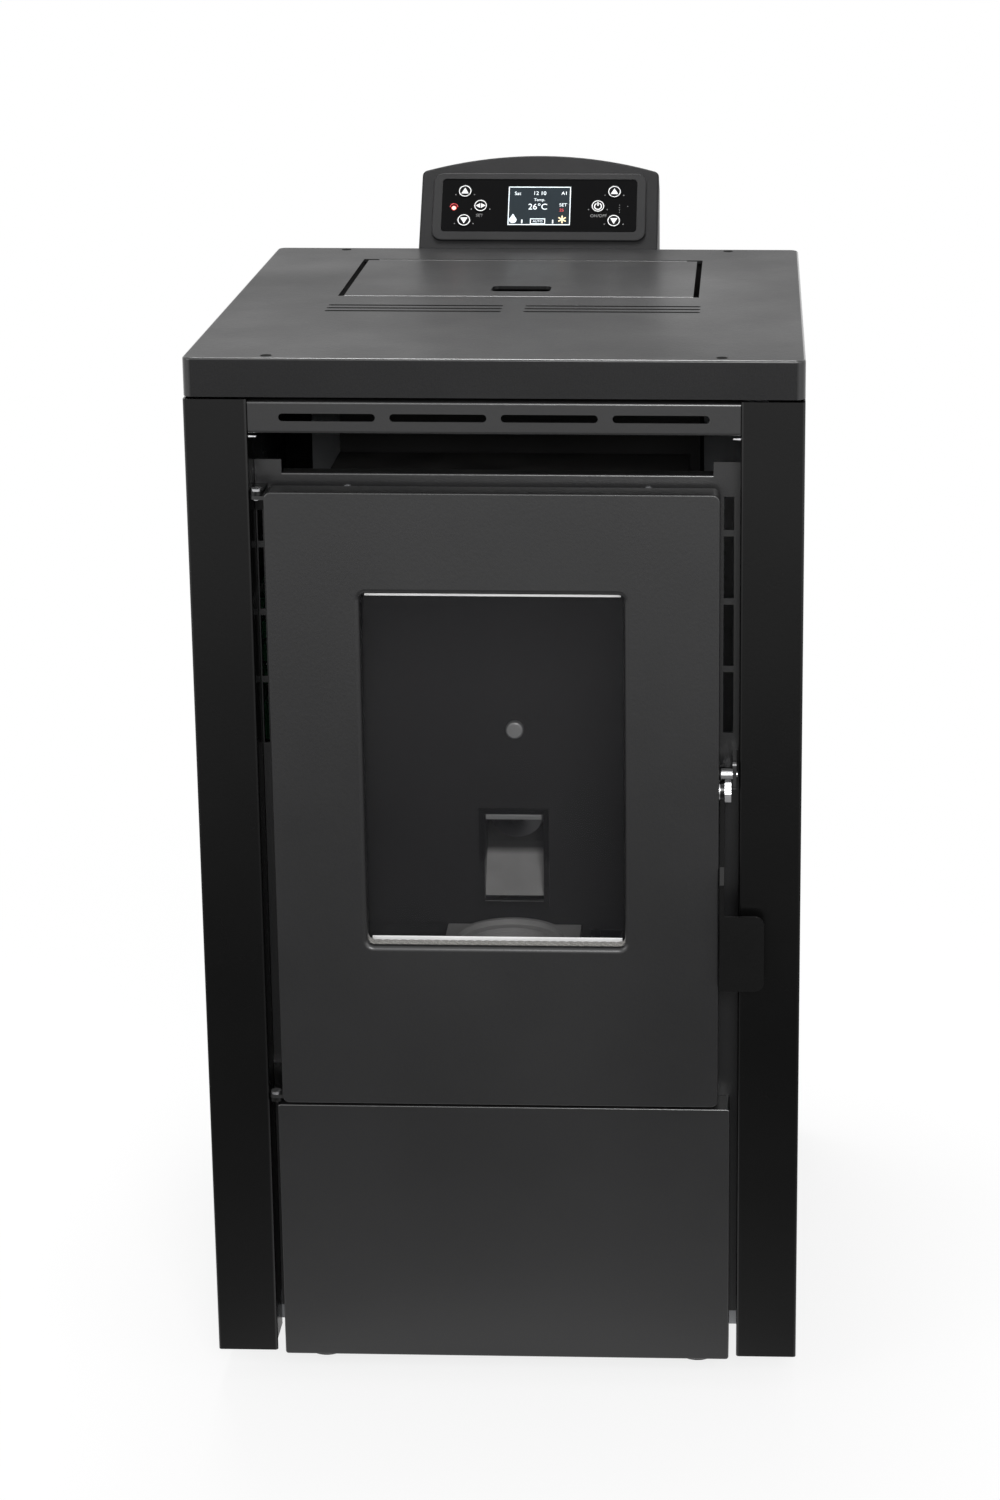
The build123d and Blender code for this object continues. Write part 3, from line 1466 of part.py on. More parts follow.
def catch_pin():
    tip = lever_x - lever_gap / 2
    pin = rod(catch_radius, (tip, catch_y, catch_z), (catch_x, catch_y, catch_z))
    pin = fillet(pin.edges().group_by(Axis.X)[0], catch_tip)
    tail = catch_x + catch_plate + 1
    return pin + rod(catch_tenon, (catch_x, catch_y, catch_z), (tail, catch_y, catch_z))


left_side_panel, right_side_panel = side_panels()

nodes = {
    "left_side_panel": left_side_panel,
    "right_side_panel": right_side_panel,
    "rear_panel": rear_panel(),
    "casing_screws": casing_screws(),
    "base_tray": base_tray(),
    "levelling_feet": levelling_feet(),
    "top_plate": hot_plate(),
    "top_plate_screws": top_plate_screws(),
    "header_louvre": header_louvre(),
    "hopper_lid": hopper_lid(),
    "lid_hinge_bracket": lid_hinge_bracket(),
    "lid_hinge_pin": lid_hinge_pin(),
    "front_frame": front_frame(),
    "lower_panel": lower_panel(),
    "firebox_shell": firebox_shell(),
    "firebox_back_liner": firebox_back_liner(),
    "liner_bolt": liner_bolt(),
    "baffle_plate": baffle_plate(),
    "pot_seat": pot_seat(),
    "burn_pot": burn_pot(),
    "ash_tray": ash_tray(),
    "igniter": igniter(),
    "air_box": air_box(),
    "air_intake_pipe": air_intake_pipe(),
    "feed_chute": feed_chute(),
    "auger_tube": auger_tube(),
    "auger_screw": auger_screw(),
    "auger_motor": auger_motor(),
    "hopper": hopper(),
    "smoke_duct": smoke_duct(),
    "exhaust_blower_housing": exhaust_blower_housing(),
    "exhaust_impeller": exhaust_impeller(),
    "exhaust_motor": exhaust_motor(),
    "flue_collar": flue_collar(),
    "convection_blower_housing": convection_blower_housing(),
    "convection_impeller": convection_impeller(),
    "convection_motor": convection_motor(),
    "control_board": control_board(),
    "power_inlet": power_inlet(),
    "console_housing": console_housing(),
    "console_fascia": console_fascia(),
    "console_display": console_display(),
    "door_skin": door_skin(),
    "door_inner_frame": door_inner_frame(),
    "door_glass": door_glass(),
    "glass_gasket": glass_gasket(),
    "door_gasket": door_gasket(),
    "glass_clips": glass_clips(),
    "clip_screws": clip_screws(),
    "door_hinge_pins": door_hinge_pins(),
    "hinge_brackets": hinge_brackets(),
    "latch_lever": latch_lever(),
    "latch_pivot_bolt": latch_pivot_bolt(),
    "catch_pin": catch_pin(),
}
nodes.update(console_keys())

to_middle = Pos(0, -centre_y, 0)
for name, shape in nodes.items():
    shapes = shape if isinstance(shape, list) else [shape]
    solids = [to_middle * solid for piece in shapes for solid in piece.solids()]
    export_step(Compound(solids), f"parts/{name}.step")
print(len(nodes), "nodes, middle of the footprint at y =", centre_y)
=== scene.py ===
import json
import math
import bpy
from mathutils import Matrix, Vector

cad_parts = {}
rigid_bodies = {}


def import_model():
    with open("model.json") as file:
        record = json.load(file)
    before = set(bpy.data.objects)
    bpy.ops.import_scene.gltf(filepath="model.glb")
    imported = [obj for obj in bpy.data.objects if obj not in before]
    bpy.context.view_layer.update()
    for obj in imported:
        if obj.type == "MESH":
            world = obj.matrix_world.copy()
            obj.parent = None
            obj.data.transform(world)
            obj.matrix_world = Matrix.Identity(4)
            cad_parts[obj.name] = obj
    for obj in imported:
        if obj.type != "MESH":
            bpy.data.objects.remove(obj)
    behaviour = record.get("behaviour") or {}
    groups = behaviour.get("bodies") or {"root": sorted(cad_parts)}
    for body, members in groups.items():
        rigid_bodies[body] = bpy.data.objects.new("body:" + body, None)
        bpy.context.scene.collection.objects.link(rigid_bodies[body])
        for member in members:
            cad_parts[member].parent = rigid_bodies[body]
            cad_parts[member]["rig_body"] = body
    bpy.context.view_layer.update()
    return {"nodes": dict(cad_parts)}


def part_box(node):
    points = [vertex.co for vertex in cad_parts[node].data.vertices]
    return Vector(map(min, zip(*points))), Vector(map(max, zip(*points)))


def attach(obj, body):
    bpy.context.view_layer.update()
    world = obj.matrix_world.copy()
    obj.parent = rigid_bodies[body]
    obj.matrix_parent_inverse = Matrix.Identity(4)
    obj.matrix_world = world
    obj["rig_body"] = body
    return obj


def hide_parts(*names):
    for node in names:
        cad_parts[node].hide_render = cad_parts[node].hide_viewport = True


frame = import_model()
nodes = frame["nodes"]
mm = 0.001

plateLow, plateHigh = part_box("top_plate")
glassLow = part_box("door_glass")[0]
print("frame loaded:", len(nodes), "nodes")


# small helpers

def deselectAll():
    if bpy.context.object and bpy.context.object.mode != "OBJECT":
        bpy.ops.object.mode_set(mode="OBJECT")
    bpy.ops.object.select_all(action="DESELECT")


def pickOnly(piece):
    deselectAll()
    piece.select_set(True)
    bpy.context.view_layer.objects.active = piece


def applyPlace(piece):
    pickOnly(piece)
    bpy.ops.object.transform_apply(location=True, rotation=True, scale=True)


def applyModifiers(piece):
    pickOnly(piece)
    for name in [modifier.name for modifier in piece.modifiers]:
        bpy.ops.object.modifier_apply(modifier=name)


def joinPieces(pieces):
    deselectAll()
    for piece in pieces:
        piece.select_set(True)
    bpy.context.view_layer.objects.active = pieces[0]
    if len(pieces) > 1:
        bpy.ops.object.join()
    return bpy.context.object


def finishPiece(piece, name, body, material):
    applyPlace(piece)
    piece.name = name
    piece.data.name = name
    piece.data.materials.clear()
    piece.data.materials.append(material)
    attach(piece, body)
    return piece


# shader node groups

def newGroup(name, inputs, outputs):
    group = bpy.data.node_groups.new(name, "ShaderNodeTree")
    for label, kind, value in inputs:
        socket = group.interface.new_socket(name=label, in_out="INPUT", socket_type=kind)
        if value is not None:
            socket.default_value = value
    for label, kind in outputs:
        group.interface.new_socket(name=label, in_out="OUTPUT", socket_type=kind)
    return group, group.nodes.new("NodeGroupInput"), group.nodes.new("NodeGroupOutput")


def addNode(tree, kind, links=None, **settings):
    node = tree.nodes.new(kind)
    for key, value in settings.items():
        setattr(node, key, value)
    for socket, source in (links or {}).items():
        target = node.inputs[socket]
        if isinstance(source, bpy.types.NodeSocket):
            tree.links.new(source, target)
        else:
            target.default_value = source
    return node


floatSocket, colorSocket, vectorSocket = "NodeSocketFloat", "NodeSocketColor", "NodeSocketVector"


grainSpec = {
    "fineDetail": 3.0, "fineWeight": 0.7, "peelSize": 0.3, "peelDetail": 1.0, "speckleLow": 0.35,
    "speckleHigh": 0.65,
}


def makePowderGrain(spec):      # the fine sand of a powder coat, with a slow orange peel under it
    group, start, end = newGroup(
        "powderGrain",
        [("Vector", vectorSocket, None), ("Size", floatSocket, 900.0)],
        [("Height", floatSocket), ("Speckle", floatSocket)],
    )
    place, size = start.outputs[:2]
    fine = addNode(
        group, "ShaderNodeTexNoise", {"Vector": place, "Scale": size, "Detail": spec["fineDetail"]}
    )
    slow = addNode(group, "ShaderNodeMath", {0: size, 1: spec["peelSize"]}, operation="MULTIPLY")
    peel = addNode(
        group, "ShaderNodeTexNoise", {"Vector": place, "Scale": slow.outputs[0], "Detail": spec["peelDetail"]}
    )
    both = addNode(
        group, "ShaderNodeMath", {0: fine.outputs[0], 1: spec["fineWeight"], 2: peel.outputs[0]},
        operation="MULTIPLY_ADD",
    )
    sharp = addNode(
        group, "ShaderNodeMapRange",
        {"Value": fine.outputs[0], "From Min": spec["speckleLow"], "From Max": spec["speckleHigh"]},
    )
    group.links.new(both.outputs[0], end.inputs[0])
    group.links.new(sharp.outputs[0], end.inputs[1])
    return group


mottleSpec = {"detail": 5.0, "low": 0.3, "high": 0.7}


def makeSoftMottle(spec):       # slow changes of tone over a large sheet
    group, start, end = newGroup(
        "softMottle",
        [
            ("Vector", vectorSocket, None), ("Color", colorSocket, None), ("Size", floatSocket, 6.0),
            ("Amount", floatSocket, 0.2),
        ],
        [("Color", colorSocket), ("Mask", floatSocket)],
    )
    place, color, size, amount = start.outputs[:4]
    cloud = addNode(group, "ShaderNodeTexNoise", {"Vector": place, "Scale": size, "Detail": spec["detail"]})
    mask = addNode(
        group, "ShaderNodeMapRange",
        {"Value": cloud.outputs[0], "From Min": spec["low"], "From Max": spec["high"]},
    )
    down = addNode(group, "ShaderNodeMath", {0: 1.0, 1: amount}, operation="SUBTRACT")
    level = addNode(group, "ShaderNodeMapRange", {"Value": mask.outputs[0], "To Min": down.outputs[0]})
    tint = addNode(group, "ShaderNodeVectorMath", {0: color, "Scale": level.outputs[0]}, operation="SCALE")
    group.links.new(tint.outputs[0], end.inputs[0])
    group.links.new(mask.outputs[0], end.inputs[1])
    return group


bendSpec = {"flat": 0.995, "bent": 0.96}      # the largest part of the normal along one axis


def makeBendMask(spec):         # 1 on bends and rounded edges, 0 on sheet that faces an axis
    group, start, end = newGroup("bendMask", [("Normal", vectorSocket, None)], [("Mask", floatSocket)])
    facing = addNode(group, "ShaderNodeVectorMath", {0: start.outputs[0]}, operation="ABSOLUTE")
    axes = addNode(group, "ShaderNodeSeparateXYZ", {0: facing.outputs[0]})
    pair = addNode(group, "ShaderNodeMath", {0: axes.outputs[0], 1: axes.outputs[1]}, operation="MAXIMUM")
    most = addNode(group, "ShaderNodeMath", {0: pair.outputs[0], 1: axes.outputs[2]}, operation="MAXIMUM")
    level = addNode(
        group, "ShaderNodeMapRange",
        {"Value": most.outputs[0], "From Min": spec["flat"], "From Max": spec["bent"]},
    )
    group.links.new(level.outputs[0], end.inputs[0])
    return group


dustSpec = {"facing": 0.4, "size": 22.0, "detail": 8.0, "low": 0.4, "high": 0.8}


def makeDustVeil(spec):         # dust that lies on what faces up, thicker in patches
    group, start, end = newGroup(
        "dustVeil",
        [("Vector", vectorSocket, None), ("Normal", vectorSocket, None), ("Amount", floatSocket, 0.1)],
        [("Mask", floatSocket)],
    )
    place, normal, amount = start.outputs[:3]
    upward = addNode(group, "ShaderNodeSeparateXYZ", {0: normal})
    facing = addNode(
        group, "ShaderNodeMapRange", {"Value": upward.outputs[2], "From Min": spec["facing"]}
    )
    patches = addNode(
        group, "ShaderNodeTexNoise", {"Vector": place, "Scale": spec["size"], "Detail": spec["detail"]}
    )
    lumps = addNode(
        group, "ShaderNodeMapRange",
        {"Value": patches.outputs[0], "From Min": spec["low"], "From Max": spec["high"]},
    )
    spread = addNode(group, "ShaderNodeMath", {0: facing.outputs[0], 1: lumps.outputs[0]}, operation="MULTIPLY")
    mask = addNode(group, "ShaderNodeMath", {0: spread.outputs[0], 1: amount}, operation="MULTIPLY")
    group.links.new(mask.outputs[0], end.inputs[0])
    return group


sootSpec = {"size": 9.0, "detail": 8.0, "wobble": 0.25}


def makeSootLayer(spec):        # soot that thickens upwards, with a soft cloudy edge
    group, start, end = newGroup(
        "sootLayer",
        [("Vector", vectorSocket, None), ("Low", floatSocket, 0.3), ("High", floatSocket, 0.7)],
        [("Mask", floatSocket)],
    )
    place, low, high = start.outputs[:3]
    cloud = addNode(
        group, "ShaderNodeTexNoise", {"Vector": place, "Scale": spec["size"], "Detail": spec["detail"]}
    )
    axes = addNode(group, "ShaderNodeSeparateXYZ", {0: place})
    wobble = addNode(
        group, "ShaderNodeMath", {0: cloud.outputs[0], 1: spec["wobble"], 2: axes.outputs[2]},
        operation="MULTIPLY_ADD",
    )
    level = addNode(
        group, "ShaderNodeMapRange", {"Value": wobble.outputs[0], "From Min": low, "From Max": high},
        interpolation_type="SMOOTHSTEP",
    )
    group.links.new(level.outputs[0], end.inputs[0])
    return group


brushSpec = {"lineDetail": 4.0, "stainSize": 14.0, "stainDetail": 6.0}


def makeBrushLines(spec):       # rolling or brushing marks along one direction
    group, start, end = newGroup(
        "brushLines",
        [("Vector", vectorSocket, None), ("Stretch", vectorSocket, (20.0, 900.0, 900.0))],
        [("Height", floatSocket), ("Mask", floatSocket)],
    )
    place, stretch = start.outputs[:2]
    scaled = addNode(group, "ShaderNodeVectorMath", {0: place, 1: stretch}, operation="MULTIPLY")
    lines = addNode(
        group, "ShaderNodeTexNoise", {"Vector": scaled.outputs[0], "Scale": 1.0, "Detail": spec["lineDetail"]}
    )
    stains = addNode(
        group, "ShaderNodeTexNoise",
        {"Vector": place, "Scale": spec["stainSize"], "Detail": spec["stainDetail"]},
    )
    group.links.new(lines.outputs[0], end.inputs[0])
    group.links.new(stains.outputs[0], end.inputs[1])
    return group


groups = {
    "grain": makePowderGrain(grainSpec),
    "mottle": makeSoftMottle(mottleSpec),
    "bend": makeBendMask(bendSpec),
    "dust": makeDustVeil(dustSpec),
    "soot": makeSootLayer(sootSpec),
    "brush": makeBrushLines(brushSpec),
}
print("node groups ready")


# materials

def startMaterial(name):
    material = bpy.data.materials.new(name)
    material.use_nodes = True
    tree = material.node_tree
    shader = tree.nodes["Principled BSDF"]
    place = addNode(tree, "ShaderNodeTexCoord").outputs["Object"]
    return material, tree, shader, place


def setShader(shader, values):
    for key, value in values.items():
        shader.inputs[key].default_value = value


def useGroup(tree, key, links):
    node = addNode(tree, "ShaderNodeGroup", node_tree=groups[key])
    for socket, source in links.items():
        if isinstance(source, bpy.types.NodeSocket):
            tree.links.new(source, node.inputs[socket])
        else:
            node.inputs[socket].default_value = source
    return node


def useMottle(tree, place, color, size, amount):
    return useGroup(tree, "mottle", {"Vector": place, "Color": (*color, 1.0), "Size": size, "Amount": amount})


def addBump(tree, shader, height, strength, distance):
    bump = addNode(tree, "ShaderNodeBump", {"Height": height, "Strength": strength, "Distance": distance})
    tree.links.new(bump.outputs[0], shader.inputs["Normal"])


dustColor = (0.34, 0.33, 0.31, 1.0)


def addDust(tree, shader, place, color, amount):
    normal = addNode(tree, "ShaderNodeNewGeometry").outputs["Normal"]
    dust = useGroup(tree, "dust", {"Vector": place, "Normal": normal, "Amount": amount})
    mix = addNode(tree, "ShaderNodeMixRGB", {"Fac": dust.outputs[0], "Color1": color, "Color2": dustColor})
    tree.links.new(mix.outputs[0], shader.inputs["Base Color"])


kindSpecs = {           # what all finishes of one kind share
    "paint": {"coatRough": 0.3, "mottleSize": 5.0, "bumpDepth": 0.0003},
    "metal": {"mottleSize": 18.0, "stainLow": 0.3, "stainHigh": 0.7, "stainRough": 0.15, "bumpDepth": 0.0002},
    "sooted": {
        "grainSize": 500.0, "mottleSize": 11.0, "mottle": 0.45, "paintedShadeFloor": 0.05, "mottleRough": 0.2,
        "bumpDepth": 0.0005,
    },
    "plastic": {"mottleSize": 30.0, "mottle": 0.15, "roughSpread": 0.03, "bumpDepth": 0.0002},
    "lit": {"mottleSize": 400.0, "mottle": 0.12, "rough": 0.4},
    "rope": {
        "fibreSize": 800.0, "fibreDetail": 3.0, "rough": 0.85, "specular": 0.2, "sheen": 0.2, "bump": 0.5,
        "bumpDepth": 0.0003,
    },
}


def powderPaint(name, spec):        # sanded powder coat on sheet steel
    kind = kindSpecs["paint"]
    material, tree, shader, place = startMaterial(name)
    setShader(shader, {"Specular IOR Level": spec["specular"], "Coat Roughness": kind["coatRough"]})
    grain = useGroup(tree, "grain", {"Vector": place, "Size": spec["grainSize"]})
    mottle = useMottle(tree, place, spec["color"], kind["mottleSize"], spec["mottle"])
    speck = addNode(
        tree, "ShaderNodeMapRange", {"Value": grain.outputs[1], "To Min": 1.0, "To Max": spec["speckle"]}
    )
    tint = addNode(
        tree, "ShaderNodeVectorMath", {0: mottle.outputs[0], "Scale": speck.outputs[0]}, operation="SCALE"
    )
    addDust(tree, shader, place, tint.outputs[0], spec["dust"])
    low, high = spec["rough"] - spec["roughSpread"], spec["rough"] + spec["roughSpread"]
    rough = addNode(tree, "ShaderNodeMapRange", {"Value": mottle.outputs[1], "To Min": low, "To Max": high})
    normal = addNode(tree, "ShaderNodeNewGeometry").outputs["True Normal"]
    bend = useGroup(tree, "bend", {"Normal": normal})
    smoother = addNode(
        tree, "ShaderNodeMapRange",
        {"Value": bend.outputs[0], "To Min": rough.outputs[0], "To Max": spec["bendRough"]},
    )
    tree.links.new(smoother.outputs[0], shader.inputs["Roughness"])
    coat = addNode(tree, "ShaderNodeMapRange", {"Value": bend.outputs[0], "To Max": spec["bendCoat"]})
    tree.links.new(coat.outputs[0], shader.inputs["Coat Weight"])
    addBump(tree, shader, grain.outputs[0], spec["bump"], kind["bumpDepth"])
    return material


def bareMetal(name, spec):          # zinc, plain or plated steel
    kind = kindSpecs["metal"]
    material, tree, shader, place = startMaterial(name)
    setShader(shader, {"Metallic": spec["metallic"]})
    brush = useGroup(tree, "brush", {"Vector": place, "Stretch": spec["stretch"]})
    mottle = useMottle(tree, place, spec["color"], kind["mottleSize"], spec["mottle"])
    tree.links.new(mottle.outputs[0], shader.inputs["Base Color"])
    rough = addNode(
        tree, "ShaderNodeMapRange",
        {"Value": brush.outputs[1], "From Min": kind["stainLow"], "From Max": kind["stainHigh"],
         "To Min": spec["rough"], "To Max": spec["rough"] + kind["stainRough"]},
    )
    tree.links.new(rough.outputs[0], shader.inputs["Roughness"])
    addBump(tree, shader, brush.outputs[0], spec["bump"], kind["bumpDepth"])
    return material


def sootedPaint(name, spec):        # stove paint with soot over it, and painted shade in listed bands
    kind = kindSpecs["sooted"]
    material, tree, shader, place = startMaterial(name)
    setShader(shader, {"Specular IOR Level": spec["specular"]})
    grain = useGroup(tree, "grain", {"Vector": place, "Size": kind["grainSize"]})
    mottle = useMottle(tree, place, spec["color"], kind["mottleSize"], kind["mottle"])
    soot = useGroup(tree, "soot", {"Vector": place, "Low": spec["sootLow"], "High": spec["sootHigh"]})
    mix = addNode(
        tree, "ShaderNodeMixRGB",
        {"Fac": soot.outputs[0], "Color1": mottle.outputs[0], "Color2": (*spec["sootColor"], 1.0)},
    )
    tone = mix.outputs[0]
    for axis, dark, clear in spec.get("paintedShades", []):     # painted shade: the tone darkened past each listed edge along Y (1) or Z (2)
        axes = addNode(tree, "ShaderNodeSeparateXYZ", {0: place})
        paintedShadeRamp = addNode(
            tree, "ShaderNodeMapRange",
            {"Value": axes.outputs[axis], "From Min": dark, "From Max": clear, "To Min": kind["paintedShadeFloor"]},
        )
        paintedShadeTone = addNode(tree, "ShaderNodeVectorMath", {0: tone, "Scale": paintedShadeRamp.outputs[0]}, operation="SCALE")
        tone = paintedShadeTone.outputs[0]
    addDust(tree, shader, place, tone, spec["dust"])
    most = min(1.0, spec["rough"] + kind["mottleRough"])
    rough = addNode(
        tree, "ShaderNodeMapRange", {"Value": mottle.outputs[1], "To Min": spec["rough"], "To Max": most}
    )
    tree.links.new(rough.outputs[0], shader.inputs["Roughness"])
    addBump(tree, shader, grain.outputs[0], spec["bump"], kind["bumpDepth"])
    return material


def plainPlastic(name, color, specular, roughness, grainSize, bump):
    kind = kindSpecs["plastic"]
    material, tree, shader, place = startMaterial(name)
    setShader(shader, {"Specular IOR Level": specular})
    grain = useGroup(tree, "grain", {"Vector": place, "Size": grainSize})
    mottle = useMottle(tree, place, color, kind["mottleSize"], kind["mottle"])
    tree.links.new(mottle.outputs[0], shader.inputs["Base Color"])
    rough = addNode(
        tree, "ShaderNodeMapRange",
        {"Value": grain.outputs[1], "To Min": roughness - kind["roughSpread"],
         "To Max": roughness + kind["roughSpread"]},
    )
    tree.links.new(rough.outputs[0], shader.inputs["Roughness"])
    addBump(tree, shader, grain.outputs[0], bump, kind["bumpDepth"])
    return material


def litPrint(name, color, strength):        # lit marks on the display and the lamp
    kind = kindSpecs["lit"]
    material, tree, shader, place = startMaterial(name)
    mottle = useMottle(tree, place, color, kind["mottleSize"], kind["mottle"])
    tree.links.new(mottle.outputs[0], shader.inputs["Base Color"])
    tree.links.new(mottle.outputs[0], shader.inputs["Emission Color"])
    setShader(shader, {"Emission Strength": strength, "Roughness": kind["rough"]})
    return material


paintSpecs = {
    "casePaint": {
        "color": (0.018, 0.018, 0.0185), "specular": 0.1, "rough": 0.38, "roughSpread": 0.08,
        "grainSize": 950.0, "bump": 0.35, "mottle": 0.15, "speckle": 0.75, "dust": 0.02, "bendRough": 0.24,
        "bendCoat": 1.0,
    },
    "columnPaint": {
        "color": (0.0015, 0.0015, 0.0015), "specular": 0.28, "rough": 0.28, "roughSpread": 0.04,
        "grainSize": 1200.0, "bump": 0.12, "mottle": 0.15, "speckle": 0.85, "dust": 0.02,
        "bendRough": 0.18, "bendCoat": 0.5,
    },
    "framePaint": {
        "color": (0.0125, 0.0125, 0.013), "specular": 0.58, "rough": 0.32, "roughSpread": 0.04,
        "grainSize": 1100.0, "bump": 0.18, "mottle": 0.14, "speckle": 0.85, "dust": 0.02,
        "bendRough": 0.24, "bendCoat": 1.0,
    },
    "doorPaint": {
        "color": (0.0125, 0.0125, 0.013), "specular": 0.58, "rough": 0.32, "roughSpread": 0.04,
        "grainSize": 1100.0, "bump": 0.18, "mottle": 0.14, "speckle": 0.85, "dust": 0.02,
        "bendRough": 0.34, "bendCoat": 0.12,
    },
    "screwBlack": {
        "color": (0.003, 0.003, 0.003), "specular": 0.02, "rough": 0.6, "roughSpread": 0.04,
        "grainSize": 1000.0, "bump": 0.1, "mottle": 0.15, "speckle": 0.8, "dust": 0.0, "bendRough": 0.5,
        "bendCoat": 0.0,
    },
    "latchPaint": {
        "color": (0.004, 0.004, 0.004), "specular": 0.2, "rough": 0.34, "roughSpread": 0.04,
        "grainSize": 1000.0, "bump": 0.2, "mottle": 0.15, "speckle": 0.8, "dust": 0.02, "bendRough": 0.18,
        "bendCoat": 0.5,
    },
}
metalSpecs = {
    "zincSteel": {
        "color": (0.42, 0.43, 0.445), "metallic": 1.0, "stretch": (60.0, 60.0, 700.0), "rough": 0.36,
        "mottle": 0.12, "bump": 0.1,
    },
    "rawSteel": {
        "color": (0.36, 0.36, 0.37), "metallic": 1.0, "stretch": (700.0, 40.0, 700.0), "rough": 0.4,
        "mottle": 0.4, "bump": 0.15,
    },
    "boltSteel": {
        "color": (0.44, 0.44, 0.44), "metallic": 0.45, "stretch": (500.0, 500.0, 500.0), "rough": 0.3,
        "mottle": 0.2, "bump": 0.04,
    },
    # near-white trim that also serves as a painted highlight on the window's bent edges
    "brightTrimAndHighlight": {
        "color": (0.85, 0.85, 0.85), "metallic": 0.3, "stretch": (500.0, 500.0, 500.0), "rough": 0.3,
        "mottle": 0.1, "bump": 0.03,
    },
    "brightSteel": {
        "color": (0.6, 0.6, 0.61), "metallic": 1.0, "stretch": (500.0, 500.0, 500.0), "rough": 0.22,
        "mottle": 0.15, "bump": 0.04,
    },
}
sootedSpecs = {
    "stovePaint": {
        "color": (0.025, 0.025, 0.025), "sootColor": (0.0135, 0.013, 0.013), "specular": 0.3, "rough": 0.6,
        "sootLow": 0.45, "sootHigh": 0.9, "bump": 0.01, "dust": 0.08,
    },
    "chutePaint": {
        "color": (0.46, 0.455, 0.45), "sootColor": (0.02, 0.02, 0.02), "specular": 0.2, "rough": 0.5,
        "sootLow": 0.52, "sootHigh": 0.60, "bump": 0.02, "dust": 0.1,
        "paintedShades": [(1, -0.0916, -0.0911), (2, 0.411, 0.405)],     # painted shade: its upper half darkened as the shadow inside the tube, and its rim in front darkened the same way
    },
    "castIron": {
        "color": (0.45, 0.445, 0.44), "sootColor": (0.03, 0.03, 0.03), "specular": 0.5, "rough": 0.5,
        "sootLow": 0.5, "sootHigh": 0.9, "bump": 0.5, "dust": 0.3,
    },
    "refractory": {
        "color": (0.16, 0.15, 0.14), "sootColor": (0.03, 0.028, 0.026), "specular": 0.1, "rough": 0.8,
        "sootLow": 0.4, "sootHigh": 0.9, "bump": 0.6, "dust": 0.1,
    },
}
plasticSpecs = {        # colour, specular, roughness, grain size, bump
    "consolePlastic": ((0.015, 0.015, 0.0155), 0.1, 0.45, 1400.0, 0.15),
    "fasciaPlastic": ((0.016, 0.016, 0.0165), 0.15, 0.38, 1400.0, 0.08),
    "filmBlack": ((0.0015, 0.0015, 0.0017), 0.08, 0.14, 900.0, 0.01),
    "keyPlastic": ((0.003, 0.003, 0.0035), 0.15, 0.22, 1500.0, 0.03),
    "displayGlass": ((0.012, 0.019, 0.024), 0.2, 0.18, 1500.0, 0.02),
    "footRubber": ((0.012, 0.012, 0.012), 0.3, 0.6, 700.0, 0.3),
    "blackMoulding": ((0.016, 0.016, 0.016), 0.4, 0.45, 1400.0, 0.15),
    "boardGreen": ((0.02, 0.12, 0.05), 0.5, 0.4, 900.0, 0.3),
    "whitePrint": ((0.72, 0.72, 0.72), 0.3, 0.5, 1500.0, 0.02),
    "greyPrint": ((0.16, 0.16, 0.16), 0.3, 0.5, 1500.0, 0.02),
}
litSpecs = {            # colour, strength
    "screenWhite": ((0.75, 0.82, 0.86), 0.35),
    "screenAmber": ((0.85, 0.66, 0.40), 0.3),
    "screenRed": ((0.60, 0.04, 0.05), 0.2),
    "lampRed": ((0.95, 0.10, 0.07), 1.6),
    "lampCore": ((1.0, 0.75, 0.72), 1.2),
}
materials = {name: powderPaint(name, spec) for name, spec in paintSpecs.items()}
materials.update({name: bareMetal(name, spec) for name, spec in metalSpecs.items()})
materials.update({name: sootedPaint(name, spec) for name, spec in sootedSpecs.items()})
materials.update({name: plainPlastic(name, *spec) for name, spec in plasticSpecs.items()})
materials.update({name: litPrint(name, *spec) for name, spec in litSpecs.items()})

glassSpec = {
    "color": (0.02, 0.02, 0.022, 1.0), "specular": 0.6, "smearSize": 7.0, "smearDetail": 9.0,
    "smearRange": (0.35, 0.7), "rough": (0.03, 0.12), "hazeRange": (0.4, 0.75), "alpha": 0.16, "haze": 0.06,
}
ropeColors = {          # light and dark fibres
    "glassRope": ((0.36, 0.35, 0.33), (0.05, 0.05, 0.048)),
    "graphiteRope": ((0.07, 0.07, 0.07), (0.02, 0.02, 0.02)),
}


def makeGlass(spec):
    material, tree, shader, place = startMaterial("stoveGlass")
    setShader(shader, {"Base Color": spec["color"], "Specular IOR Level": spec["specular"]})
    smear = addNode(
        tree, "ShaderNodeTexNoise",
        {"Vector": place, "Scale": spec["smearSize"], "Detail": spec["smearDetail"]},
    )
    rough = addNode(
        tree, "ShaderNodeMapRange",
        {"Value": smear.outputs[0], "From Min": spec["smearRange"][0], "From Max": spec["smearRange"][1],
         "To Min": spec["rough"][0], "To Max": spec["rough"][1]},
    )
    veil = addNode(
        tree, "ShaderNodeMapRange",
        {"Value": smear.outputs[0], "From Min": spec["hazeRange"][0], "From Max": spec["hazeRange"][1],
         "To Min": spec["alpha"], "To Max": spec["alpha"] + spec["haze"]},
    )
    tree.links.new(rough.outputs[0], shader.inputs["Roughness"])
    tree.links.new(veil.outputs[0], shader.inputs["Alpha"])
    return material


